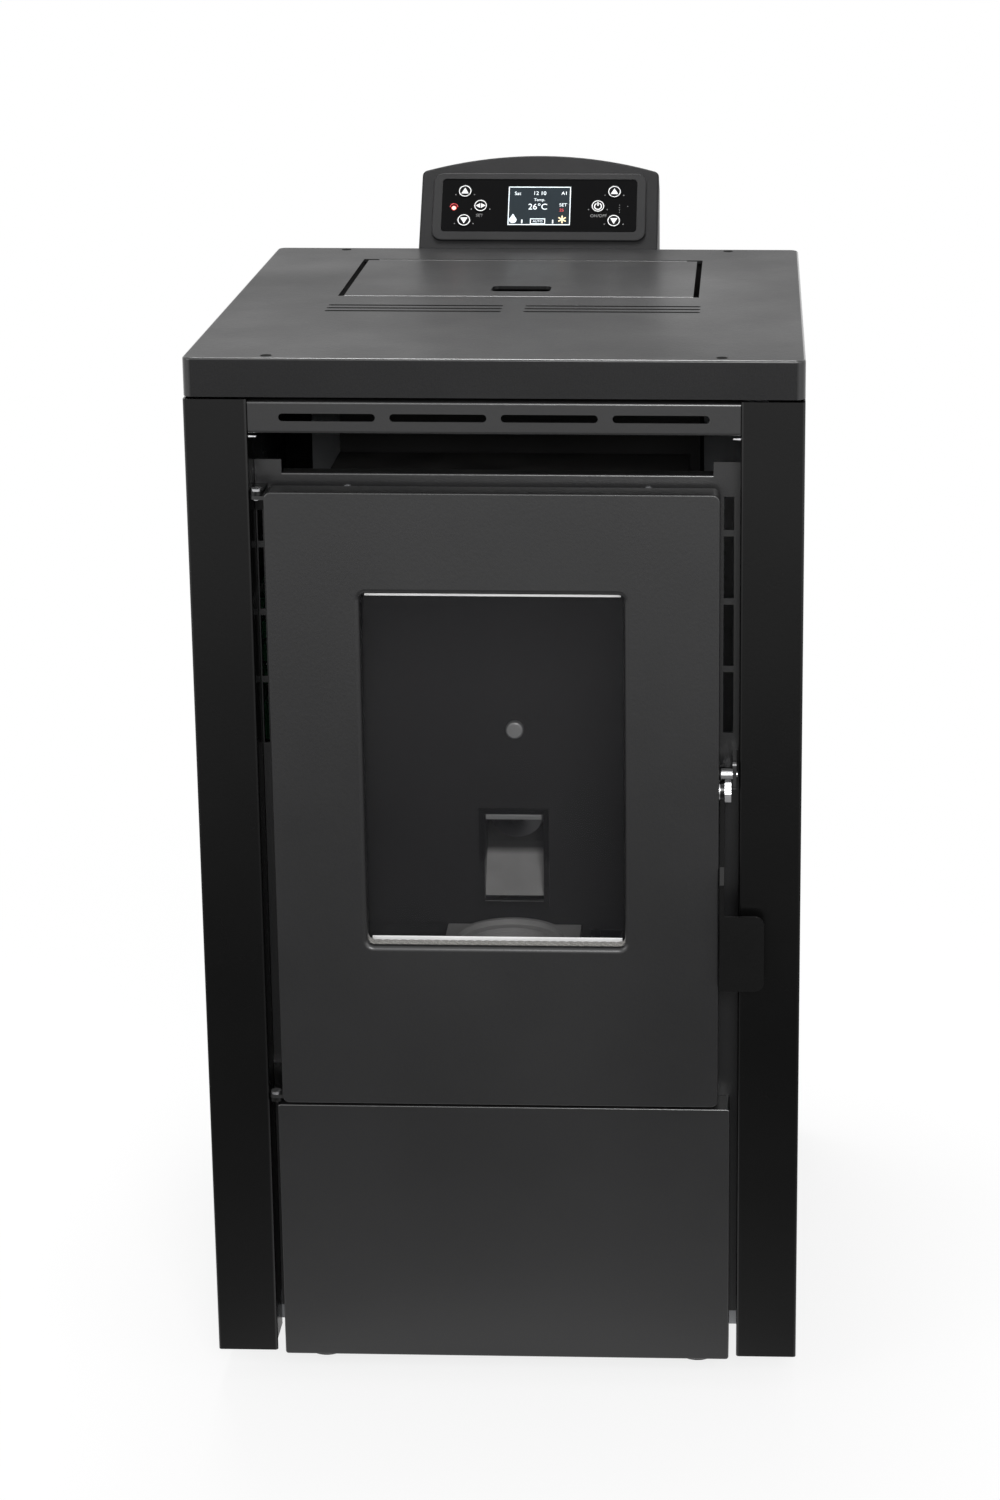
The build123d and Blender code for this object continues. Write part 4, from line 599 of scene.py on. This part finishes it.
def ropeMaterial(name, color, dark):
    kind = kindSpecs["rope"]
    material, tree, shader, place = startMaterial(name)
    fibre = addNode(
        tree, "ShaderNodeTexNoise",
        {"Vector": place, "Scale": kind["fibreSize"], "Detail": kind["fibreDetail"]},
    )
    mix = addNode(
        tree, "ShaderNodeMixRGB", {"Fac": fibre.outputs[0], "Color1": (*dark, 1.0), "Color2": (*color, 1.0)}
    )
    tree.links.new(mix.outputs[0], shader.inputs["Base Color"])
    setShader(
        shader,
        {"Roughness": kind["rough"], "Specular IOR Level": kind["specular"], "Sheen Weight": kind["sheen"]},
    )
    addBump(tree, shader, fibre.outputs[0], kind["bump"], kind["bumpDepth"])
    return material


materials["stoveGlass"] = makeGlass(glassSpec)
materials.update({name: ropeMaterial(name, *colors) for name, colors in ropeColors.items()})

finishes = {
    "casePaint": ["top_plate", "hopper_lid"],
    "columnPaint": ["left_side_panel", "right_side_panel"],
    "framePaint": ["header_louvre", "lower_panel", "front_frame", "lid_hinge_bracket"],
    "doorPaint": ["door_skin"],
    "latchPaint": ["latch_lever", "hinge_brackets"],
    "screwBlack": ["top_plate_screws"],
    "stovePaint": [
        "firebox_shell", "firebox_back_liner", "ash_tray", "door_inner_frame", "flue_collar", "hopper",
    ],
    "chutePaint": ["feed_chute"],
    "castIron": ["burn_pot", "pot_seat"],
    "refractory": ["baffle_plate"],
    "zincSteel": [
        "rear_panel", "casing_screws", "base_tray", "lid_hinge_pin", "igniter", "air_intake_pipe",
        "auger_motor", "exhaust_blower_housing", "exhaust_motor", "convection_blower_housing",
        "convection_impeller", "convection_motor", "glass_clips", "clip_screws",
    ],
    "rawSteel": ["air_box", "auger_tube", "auger_screw", "smoke_duct", "exhaust_impeller"],
    "brightSteel": ["door_hinge_pins", "latch_pivot_bolt", "catch_pin"],
    "boltSteel": ["liner_bolt"],
    "consolePlastic": ["console_housing"],
    "fasciaPlastic": ["console_fascia"],
    "keyPlastic": ["key_left_up", "key_set", "key_left_down", "key_right_up", "key_power", "key_right_down"],
    "displayGlass": ["console_display"],
    "footRubber": ["levelling_feet"],
    "blackMoulding": ["power_inlet"],
    "boardGreen": ["control_board"],
    "stoveGlass": ["door_glass"],
    "glassRope": ["glass_gasket"],
    "graphiteRope": ["door_gasket"],
}
for name, members in finishes.items():
    for member in members:
        nodes[member].data.materials.clear()
        nodes[member].data.materials.append(materials[name])
print("materials on", sum(len(members) for members in finishes.values()), "nodes")


# rope seals

ropeSpecs = {
    "windowRope": {
        "node": "glass_gasket", "material": "glassRope", "slot": "rope_seal", "strands": 5, "pitch": 7.0,
        "corner": 9.5, "rise": 3.0,
    },
    "doorRope": {
        "node": "door_gasket", "material": "graphiteRope", "slot": "black_rope", "strands": 6,
        "pitch": 10.0, "corner": 12.0, "rise": 0.0,
    },
}
strandSpec = {"thickness": 0.42, "corners": 8, "cuts": (0.25, 0.5, 0.75), "mergeGap": 0.2}


def ropePath(low, high, radius, corner):        # a rounded rectangle along the middle of the rope
    deselectAll()
    middle = (low + high) / 2
    bpy.ops.mesh.primitive_plane_add(size=1.0, location=middle, rotation=(math.pi / 2, 0, 0))
    path = bpy.context.object
    path.scale = (high.x - low.x - 2 * radius, high.z - low.z - 2 * radius, 1)
    applyPlace(path)
    bpy.ops.object.mode_set(mode="EDIT")
    bpy.ops.mesh.select_all(action="SELECT")
    bpy.ops.mesh.bevel(offset=corner, segments=8, affect="VERTICES")
    bpy.ops.mesh.delete(type="ONLY_FACE")
    bpy.ops.object.mode_set(mode="OBJECT")
    bpy.ops.object.convert(target="CURVE")
    return path


def ropeStrands(radius, strands, pitch):        # one pitch of twisted strands along X
    strandRadius = radius * strandSpec["thickness"]
    made = []
    for step in range(strands):
        turn = step * 2 * math.pi / strands
        reach = radius - strandRadius
        deselectAll()
        bpy.ops.mesh.primitive_cylinder_add(
            vertices=strandSpec["corners"], radius=strandRadius, depth=pitch, end_fill_type="NOTHING",
            rotation=(0, math.pi / 2, 0),
            location=(pitch / 2, reach * math.cos(turn), reach * math.sin(turn)),
        )
        strand = bpy.context.object
        bpy.ops.object.mode_set(mode="EDIT")
        for share in strandSpec["cuts"]:
            bpy.ops.mesh.select_all(action="SELECT")
            bpy.ops.mesh.bisect(plane_co=(pitch * share, 0, 0), plane_no=(1, 0, 0))
        bpy.ops.object.mode_set(mode="OBJECT")
        made.append(strand)
    rope = joinPieces(made)
    applyPlace(rope)
    twist = rope.modifiers.new("twist", "SIMPLE_DEFORM")
    twist.deform_method = "TWIST"
    twist.deform_axis = "X"
    twist.angle = 2 * math.pi / strands
    return rope


def makeRope(name, spec):
    low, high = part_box(spec["node"])
    radius = (high.y - low.y) / 2
    low.z += spec["rise"] * mm      # the lower run may lie a little higher than in the solid
    path = ropePath(low, high, radius, spec["corner"] * mm)
    pitch = spec["pitch"] * mm
    length = path.data.splines[0].calc_length()
    count = round(length / pitch)
    rope = ropeStrands(radius, spec["strands"], length / count)
    repeat = rope.modifiers.new("repeat", "ARRAY")
    repeat.fit_type = "FIXED_COUNT"
    repeat.count = count
    repeat.use_merge_vertices = True
    repeat.use_merge_vertices_cap = True
    repeat.merge_threshold = strandSpec["mergeGap"] * mm
    follow = rope.modifiers.new("follow", "CURVE")
    follow.object = path
    applyModifiers(rope)
    bpy.ops.object.shade_smooth()
    body = nodes[spec["node"]]["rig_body"]
    piece = finishPiece(rope, name, body, materials[spec["material"]])
    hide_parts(spec["node"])
    bpy.data.objects.remove(path)


for ropeName, ropeSpec in ropeSpecs.items():
    makeRope(ropeName, ropeSpec)
print("rope seals laid")


# flat marks, made lying in XY and put on a face

def onPlace(piece, place, x, y, lift):
    piece.matrix_world = place @ Matrix.Translation((x * mm, y * mm, lift * mm))
    applyPlace(piece)
    return piece


def thicken(piece, gauge):
    solid = piece.modifiers.new("gauge", "SOLIDIFY")
    solid.thickness = gauge * mm
    solid.offset = 1.0
    applyModifiers(piece)


def flatDisc(radius, corners, gauge, turn=0.0):
    deselectAll()
    bpy.ops.mesh.primitive_circle_add(
        vertices=corners, radius=radius * mm, fill_type="NGON", rotation=(0, 0, turn)
    )
    disc = bpy.context.object
    applyPlace(disc)
    thicken(disc, gauge)
    return disc


def flatPlate(width, height, corner, gauge):
    deselectAll()
    bpy.ops.mesh.primitive_plane_add(size=1.0)
    plate = bpy.context.object
    plate.scale = (width * mm, height * mm, 1)
    applyPlace(plate)
    if corner:
        bpy.ops.object.mode_set(mode="EDIT")
        bpy.ops.mesh.select_all(action="SELECT")
        bpy.ops.mesh.bevel(offset=corner * mm, segments=6, affect="VERTICES")
        bpy.ops.object.mode_set(mode="OBJECT")
    thicken(plate, gauge)
    return plate


def flatFrame(outline, rim, gauge):         # what is left of a flat sheet when its middle is taken out
    bpy.ops.object.mode_set(mode="EDIT")
    bpy.ops.mesh.select_all(action="SELECT")
    bpy.ops.mesh.inset(thickness=rim * mm)
    bpy.ops.mesh.delete(type="FACE")
    bpy.ops.object.mode_set(mode="OBJECT")
    thicken(outline, gauge)
    return outline


def flatRing(radius, rim, gauge, corners=40):
    deselectAll()
    bpy.ops.mesh.primitive_circle_add(vertices=corners, radius=radius * mm, fill_type="NGON")
    return flatFrame(bpy.context.object, rim, gauge)


def flatBorder(width, height, rim, gauge):
    deselectAll()
    bpy.ops.mesh.primitive_plane_add(size=1.0)
    border = bpy.context.object
    border.scale = (width * mm, height * mm, 1)
    applyPlace(border)
    return flatFrame(border, rim, gauge)


def flatText(words, height, gauge):
    deselectAll()
    bpy.ops.object.text_add()
    text = bpy.context.object
    text.data.body = words
    text.data.size = height * mm
    text.data.align_x = "CENTER"
    text.data.align_y = "CENTER"
    text.data.extrude = gauge / 2 * mm
    bpy.ops.object.convert(target="MESH")
    return bpy.context.object


def cutAway(piece, cutter):
    cut = piece.modifiers.new("cut", "BOOLEAN")
    cut.operation = "DIFFERENCE"
    cut.solver = "EXACT"
    cut.object = cutter
    applyModifiers(piece)
    bpy.data.objects.remove(cutter)


# console: x to the right, y up the leaning face, lift out of it

consoleSpec = {
    "lean": 37.0, "gap": 0.3, "pocket": 1.8, "middle": 45.25, "film": (188.4, 57.0, 3.8), "filmGauge": 0.35,
    "display": (61.0, 42.5), "keyTop": 3.2, "keyHole": 7.2, "keyRing": (6.0, 0.8), "print": 0.08,
    "pocketLift": 0.01, "filmLift": 0.02, "deepCut": 10.0, "cut": 4.0,
}
keySpecs = {
    "key_left_up": {"place": (-72.4, 60.5), "sign": "up"},
    "key_set": {"place": (-56.8, 44.7), "sign": "sideways"},
    "key_left_down": {"place": (-72.4, 28.9), "sign": "down"},
    "key_right_up": {"place": (72.4, 60.5), "sign": "up"},
    "key_power": {"place": (56.8, 44.7), "sign": "power"},
    "key_right_down": {"place": (72.4, 28.9), "sign": "down"},
}
consoleTilt = math.radians(90 - consoleSpec["lean"])
consoleOrigin = Vector((0, plateHigh.y + consoleSpec["gap"] * mm, plateHigh.z))
consolePlace = Matrix.Translation(consoleOrigin) @ Matrix.Rotation(consoleTilt, 4, "X")
noTurn = Matrix.Identity(4)
pocketTop = consoleSpec["pocket"] + consoleSpec["pocketLift"]
filmTop = consoleSpec["pocket"] + consoleSpec["filmGauge"] + consoleSpec["filmLift"]
cabinet = nodes["console_fascia"]["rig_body"]


def makeFilm():         # the glossy black sheet round the keys and the display
    spec = consoleSpec
    film = flatPlate(*spec["film"], spec["filmGauge"])
    deep = spec["deepCut"]
    cutters = [onPlace(flatPlate(*spec["display"], 0, deep), noTurn, 0, 0, -deep / 2)]
    for key in keySpecs.values():
        x, y = key["place"]
        cutters.append(onPlace(flatDisc(spec["keyHole"], 40, deep), noTurn, x, y - spec["middle"], -deep / 2))
    cutAway(film, joinPieces(cutters))
    onPlace(film, consolePlace, 0, spec["middle"], pocketTop)
    finishPiece(film, "consoleFilm", cabinet, materials["filmBlack"])


arrowSpecs = {          # triangles: radius, turn, place on the key
    "up": [(4.2, 0.0, (0, -0.6))],
    "down": [(4.2, math.pi, (0, 0.6))],
    "sideways": [(2.9, math.pi / 2, (-1.9, 0)), (2.9, -math.pi / 2, (1.9, 0))],
}
powerSpec = {
    "ring": (3.9, 1.1), "ringPlace": (0, -0.4), "notch": (2.8, 3.6), "notchPlace": (0, 3.0), "bar": (1.2, 4.2),
    "barPlace": (0, 2.2),
}


def keySign(kind, gauge):       # the pieces of a sign, each with its place on the key
    if kind in arrowSpecs:
        return [(flatDisc(radius, 3, gauge, turn), place) for radius, turn, place in arrowSpecs[kind]]
    spec, cut = powerSpec, consoleSpec["cut"]
    ring = flatRing(*spec["ring"], gauge)
    cutAway(ring, onPlace(flatPlate(*spec["notch"], 0, cut), noTurn, *spec["notchPlace"], -cut / 2))
    return [(ring, spec["ringPlace"]), (flatPlate(*spec["bar"], 0, gauge), spec["barPlace"])]


def makeKeyPrint(name, spec):
    gauge, top = consoleSpec["print"], consoleSpec["keyTop"]
    x, y = spec["place"]
    marks = [onPlace(flatRing(*consoleSpec["keyRing"], gauge), consolePlace, x, y, top)]
    for sign, (right, up) in keySign(spec["sign"], gauge):
        marks.append(onPlace(sign, consolePlace, x + right, y + up, top))
    body = nodes[name]["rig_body"]
    finishPiece(joinPieces(marks), name + "_print", body, materials["whitePrint"])


screenSpec = {          # places are x and y from the middle of the display
    "border": (60.2, 41.7, 0.8, 0.2),
    "words": [          # text, height, place
        ("Sat", 5.2, (-21.2, 13.4)), ("12 10", 5.6, (0.0, 13.7)), ("A1", 5.2, (24.0, 13.7)),
        ("Temp.", 4.2, (0.0, 6.6)), ("26\u00b0C", 9.0, (-1.5, -1.2)), ("SET", 4.8, (23.0, 1.0)),
        ("AUTO", 3.4, (-1.2, -16.8)),
    ],
    "drop": 3.6, "dropTip": 3.3, "dropTipUp": 3.4, "dropPlace": (-25.2, -15.2),
    "bar": (1.2, 4.0), "barPlaces": [(-16.4, -17.0), (13.4, -17.0)],
    "autoBox": (14.6, 6.2, 0.8), "autoPlace": (-1.2, -16.8),
    "setPoint": ("25", 4.4, (21.6, -4.6)),
    "fanBlade": (1.3, 8.4, 0.5), "fanTurns": (0, 60, 120), "fanStep": 0.01, "fanPlace": (22.4, -14.6),
}


def makeDrop(gauge):        # a water drop: a disc with its top drawn up to a point
    spec = screenSpec
    drop = flatDisc(spec["drop"], 24, gauge)
    tip = onPlace(flatDisc(spec["dropTip"], 3, gauge), noTurn, 0, spec["dropTipUp"], 0)
    return [drop, tip]


def onScreen(piece, place, lift=0.0):
    return onPlace(piece, consolePlace, place[0], consoleSpec["middle"] + place[1], pocketTop + lift)


def makeScreen():
    spec, gauge = screenSpec, consoleSpec["print"]
    white = [onScreen(flatBorder(*spec["border"]), (0, 0))]
    for text, height, place in spec["words"]:
        white.append(onScreen(flatText(text, height, gauge), place, gauge / 2))
    for piece in makeDrop(gauge):
        white.append(onScreen(piece, spec["dropPlace"]))
    for place in spec["barPlaces"]:
        white.append(onScreen(flatPlate(*spec["bar"], 0, gauge), place))
    white.append(onScreen(flatBorder(*spec["autoBox"], gauge), spec["autoPlace"]))
    finishPiece(joinPieces(white), "screenMarks", cabinet, materials["screenWhite"])
    text, height, place = spec["setPoint"]
    red = onScreen(flatText(text, height, gauge), place, gauge / 2)
    finishPiece(red, "screenSetPoint", cabinet, materials["screenRed"])
    amber = []
    for step, turn in enumerate(spec["fanTurns"]):
        fan = flatPlate(*spec["fanBlade"], gauge)
        onPlace(fan, Matrix.Rotation(math.radians(turn), 4, "Z"), 0, 0, 0)
        amber.append(onScreen(fan, spec["fanPlace"], spec["fanStep"] * step))
    finishPiece(joinPieces(amber), "screenFan", cabinet, materials["screenAmber"])


filmPrintSpec = {
    "words": [("SET", (-57.6, 34.4)), ("ON/OFF", (57.4, 34.4))], "wordHeight": 4.4,
    "dotRow": (77.6, 46.2), "dotCount": 4, "dotPitch": 2.6, "dotAlone": (85.4, 45.0), "dot": 0.45,
    "keyDot": 0.6, "keyDotOut": 9.0, "keyDotDown": 3.4,
}


def makeFilmPrint():
    spec, gauge = filmPrintSpec, consoleSpec["print"]
    grey = []
    for text, place in spec["words"]:
        words = flatText(text, spec["wordHeight"], gauge)
        grey.append(onPlace(words, consolePlace, *place, filmTop + gauge / 2))
    rowX, rowY = spec["dotRow"]
    dots = [(rowX, rowY - spec["dotPitch"] * step) for step in range(spec["dotCount"])]
    for x, y in dots + [spec["dotAlone"]]:
        grey.append(onPlace(flatDisc(spec["dot"], 12, gauge), consolePlace, x, y, filmTop))
    for key in keySpecs.values():
        x, y = key["place"]
        for side in (-1, 1):
            dot = flatDisc(spec["keyDot"], 12, gauge)
            right, up = side * spec["keyDotOut"], -spec["keyDotDown"]
            grey.append(onPlace(dot, consolePlace, x + right, y + up, filmTop))
    finishPiece(joinPieces(grey), "filmPrint", cabinet, materials["greyPrint"])


redLampSpec = {
    "place": (-82.6, 42.4), "core": (1.5, 24, 0.12), "halo": (2.3, 0.75, 0.08), "arc": (4.0, 0.6, 0.08),
    "arcPlace": (-82.6, 43.4), "cover": (12.0, 8.0), "coverPlace": (0, -4.0),
}


def makeLampLight():        # the red lamp and the faint arc of light over it
    spec, cut = redLampSpec, consoleSpec["cut"]
    core = onPlace(flatDisc(*spec["core"]), consolePlace, *spec["place"], filmTop)
    finishPiece(core, "lampCore", cabinet, materials["lampCore"])
    halo = onPlace(flatRing(*spec["halo"]), consolePlace, *spec["place"], filmTop)
    finishPiece(halo, "lampHalo", cabinet, materials["lampRed"])
    arc = flatRing(*spec["arc"])
    cutAway(arc, onPlace(flatPlate(*spec["cover"], 0, cut), noTurn, *spec["coverPlace"], -cut / 2))
    onPlace(arc, consolePlace, *spec["arcPlace"], filmTop)
    finishPiece(arc, "lampArc", cabinet, materials["screenRed"])


makeFilm()
for keyName, keySpec in keySpecs.items():
    makeKeyPrint(keyName, keySpec)
makeScreen()
makeFilmPrint()
makeLampLight()
print("console details done")


# small bright pieces at the front

# glass strips: partly trim, partly a painted highlight; the lower one reaches down behind the rope over the
# dark gap
stripSpec = {
    "seat": 7.5, "margin": 2.5, "gauge": 1.0, "low": (0.6, 4.8), "high": (-4.2, 0.0), "bend": 0.4,
    "segments": 3,
}
lipSpec = {"place": (-4.0, -91.0, 450.2), "size": (50.0, 0.8, 4.6), "bend": 0.3, "segments": 2}
tipSpec = {"radius": 1.5, "nose": 0.6, "length": 6.0, "x": 198.2, "y": 5.0, "z": 844.5}


def roundedBar(size, place, spec):
    deselectAll()
    bpy.ops.mesh.primitive_cube_add(size=1.0)
    bar = bpy.context.object
    bar.scale = size
    bar.location = place
    applyPlace(bar)
    bend = bar.modifiers.new("round", "BEVEL")
    bend.width = spec["bend"] * mm
    bend.segments = spec["segments"]
    applyModifiers(bar)
    return bar


def makeGlassTrimHighlights():      # near-white strips that hold the rope along the upper and lower edges of the glass: partly bright trim, partly a painted highlight on the window's bent edges; the lower one reaches down behind the rope, painting light over the dark gap there
    spec, strips = stripSpec, []
    ropeLow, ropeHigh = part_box("glass_gasket")
    seat = spec["seat"] * mm
    width = ropeHigh.x - ropeLow.x - 2 * (seat + spec["margin"] * mm)
    middle = (ropeLow.x + ropeHigh.x) / 2
    for edge, (low, high) in ((ropeLow.z + seat, spec["low"]), (ropeHigh.z - seat, spec["high"])):
        size = (width, spec["gauge"] * mm, (high - low) * mm)
        place = (middle, glassLow.y - spec["gauge"] / 2 * mm, edge + (low + high) / 2 * mm)
        strips.append(roundedBar(size, place, spec))
    door = nodes["glass_gasket"]["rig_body"]
    finishPiece(joinPieces(strips), "glassTrimHighlights", door, materials["brightTrimAndHighlight"])


def makeChuteLip():         # the folded lip along the top of the chute's mouth
    size, place = ([value * mm for value in lipSpec[key]] for key in ("size", "place"))
    lip = roundedBar(size, place, lipSpec)
    finishPiece(lip, "chuteLip", cabinet, materials["boltSteel"])


def makeScrewTips():        # the tips of the two header screws
    spec, tips = tipSpec, []
    for side in (-1, 1):
        x = side * (spec["x"] - spec["length"] / 2)
        deselectAll()
        bpy.ops.mesh.primitive_cone_add(
            vertices=20, radius1=spec["radius"] * mm, radius2=spec["radius"] * spec["nose"] * mm,
            depth=spec["length"] * mm, rotation=(0, -side * math.pi / 2, 0),
            location=(x * mm, plateLow.y + spec["y"] * mm, spec["z"] * mm),
        )
        tip = bpy.context.object
        applyPlace(tip)
        tips.append(tip)
    finishPiece(joinPieces(tips), "headerScrewTips", cabinet, materials["brightSteel"])


makeGlassTrimHighlights()
makeChuteLip()
makeScrewTips()
print("front details done")


# stage, lights and camera

studioSpec = {
    "floorSize": 14.0, "floorColor": (0.86, 0.86, 0.86), "worldLight": 0.5, "nearWhite": 0.8,
    "nearReach": 0.3, "farReach": 1.3, "mirrorReach": 5.0,
    "mirrorStops": [        # painted reflection: distance over mirrorReach, and how bright a reflection shows the floor there, as a glow only glossy rays see
        (0.075, 0.88), (0.095, 0.52), (0.14, 0.24), (0.19, 0.16), (0.34, 0.2), (0.54, 0.55), (0.8, 1.0),
    ],
}
lampSpecs = {
    "topLamp": {"place": (-0.1, 0.4, 2.7), "aim": (0, 0, 0.8), "size": 0.8, "power": 45.0},
    "leftLamp": {"place": (-2.8, -2.6, 1.9), "aim": (0, 0, 0.5), "size": 2.0, "power": 30.0},
    "frontLamp": {"place": (0.6, -3.4, 2.2), "aim": (0, 0, 0.5), "size": 1.2, "power": 80.0},
    "rightLamp": {"place": (3.0, -2.4, 1.6), "aim": (0, 0, 0.5), "size": 1.8, "power": 18.0},
}
cameraSpec = {
    "place": (0.209, -2.6885, 1.413), "pitch": 13.78, "yaw": -1.56, "shift": (-0.115, -0.19),
    "focalPixels": 3079.0, "longSidePixels": 1500, "sensor": 36.0, "clipEnd": 50,
}


def rayShare(tree, kinds):      # 1 for rays of any of these kinds
    rays = addNode(tree, "ShaderNodeLightPath")
    share = rays.outputs[kinds[0]]
    for kind in kinds[1:]:
        either = addNode(tree, "ShaderNodeMath", {0: share, 1: rays.outputs[kind]}, operation="MAXIMUM")
        share = either.outputs[0]
    return share


def makeFloor(spec):
    deselectAll()
    bpy.ops.mesh.primitive_plane_add(size=spec["floorSize"], location=(0, 0, 0))
    floor = bpy.context.object
    floor.name = "studioFloor"
    material, tree, shader, place = startMaterial("floorPaper")
    mottle = useMottle(tree, place, spec["floorColor"], 2.0, 0.02)
    tree.links.new(mottle.outputs[0], shader.inputs["Base Color"])
    setShader(shader, {"Roughness": 0.9, "Specular IOR Level": 0.1})
    length = addNode(tree, "ShaderNodeVectorMath", {0: place}, operation="LENGTH")
    spread = addNode(
        tree, "ShaderNodeMapRange",
        {"Value": length.outputs["Value"], "From Min": spec["nearReach"], "From Max": spec["farReach"],
         "To Min": spec["nearWhite"]},
    )
    seen = rayShare(tree, ["Is Camera Ray", "Is Transmission Ray"])
    share = addNode(tree, "ShaderNodeMath", {0: seen, 1: spread.outputs[0]}, operation="MULTIPLY")
    white = addNode(tree, "ShaderNodeEmission", {0: (1, 1, 1, 1), 1: 1.0})
    mix = addNode(
        tree, "ShaderNodeMixShader", {0: share.outputs[0], 1: shader.outputs[0], 2: white.outputs[0]}
    )
    reach = addNode(
        tree, "ShaderNodeMath", {0: length.outputs["Value"], 1: spec["mirrorReach"]}, operation="DIVIDE"
    )
    # painted reflection: glossy rays see the floor as a glow with the listed tone at each distance, not as the
    # lit floor
    ramp = addNode(tree, "ShaderNodeValToRGB", {0: reach.outputs[0]})
    for stop, tone in spec["mirrorStops"]:
        ramp.color_ramp.elements.new(stop).color = (tone, tone, tone, 1)
    paintedReflection = addNode(tree, "ShaderNodeEmission", {0: ramp.outputs[0], 1: 1.0})
    glossy = rayShare(tree, ["Is Glossy Ray"])
    both = addNode(tree, "ShaderNodeMixShader", {0: glossy, 1: mix.outputs[0], 2: paintedReflection.outputs[0]})
    tree.links.new(both.outputs[0], tree.nodes["Material Output"].inputs[0])
    floor.data.materials.append(material)


def makeWorld(spec):
    world = bpy.data.worlds.new("studioWorld")
    bpy.context.scene.world = world
    world.use_nodes = True
    tree = world.node_tree
    light = tree.nodes["Background"]
    light.inputs[0].default_value = (1, 1, 1, 1)
    light.inputs[1].default_value = spec["worldLight"]
    white = addNode(tree, "ShaderNodeBackground", {0: (1, 1, 1, 1), 1: 1.0})
    seen = rayShare(tree, ["Is Camera Ray", "Is Glossy Ray", "Is Transmission Ray"])
    mix = addNode(tree, "ShaderNodeMixShader", {0: seen, 1: light.outputs[0], 2: white.outputs[0]})
    tree.links.new(mix.outputs[0], tree.nodes["World Output"].inputs[0])


def makeLamp(name, spec):
    deselectAll()
    bpy.ops.object.light_add(type="AREA", location=spec["place"])
    lamp = bpy.context.object
    lamp.name = name
    lamp.data.energy = spec["power"]
    lamp.data.size = spec["size"]
    lamp.rotation_euler = (Vector(spec["aim"]) - Vector(spec["place"])).to_track_quat("-Z", "Y").to_euler()


def makeCamera(spec):
    deselectAll()
    bpy.ops.object.camera_add(location=spec["place"])
    camera = bpy.context.object
    camera.rotation_euler = (math.radians(90 - spec["pitch"]), 0, math.radians(-spec["yaw"]))
    camera.data.sensor_width = spec["sensor"]
    camera.data.lens = spec["focalPixels"] / spec["longSidePixels"] * spec["sensor"]
    camera.data.shift_x, camera.data.shift_y = spec["shift"]
    camera.data.clip_end = spec["clipEnd"]
    bpy.context.scene.camera = camera


makeFloor(studioSpec)
makeWorld(studioSpec)
for lampName, lampSpec in lampSpecs.items():
    makeLamp(lampName, lampSpec)
makeCamera(cameraSpec)
bpy.context.scene.view_settings.view_transform = "Standard"
print("stage, lights and camera set")
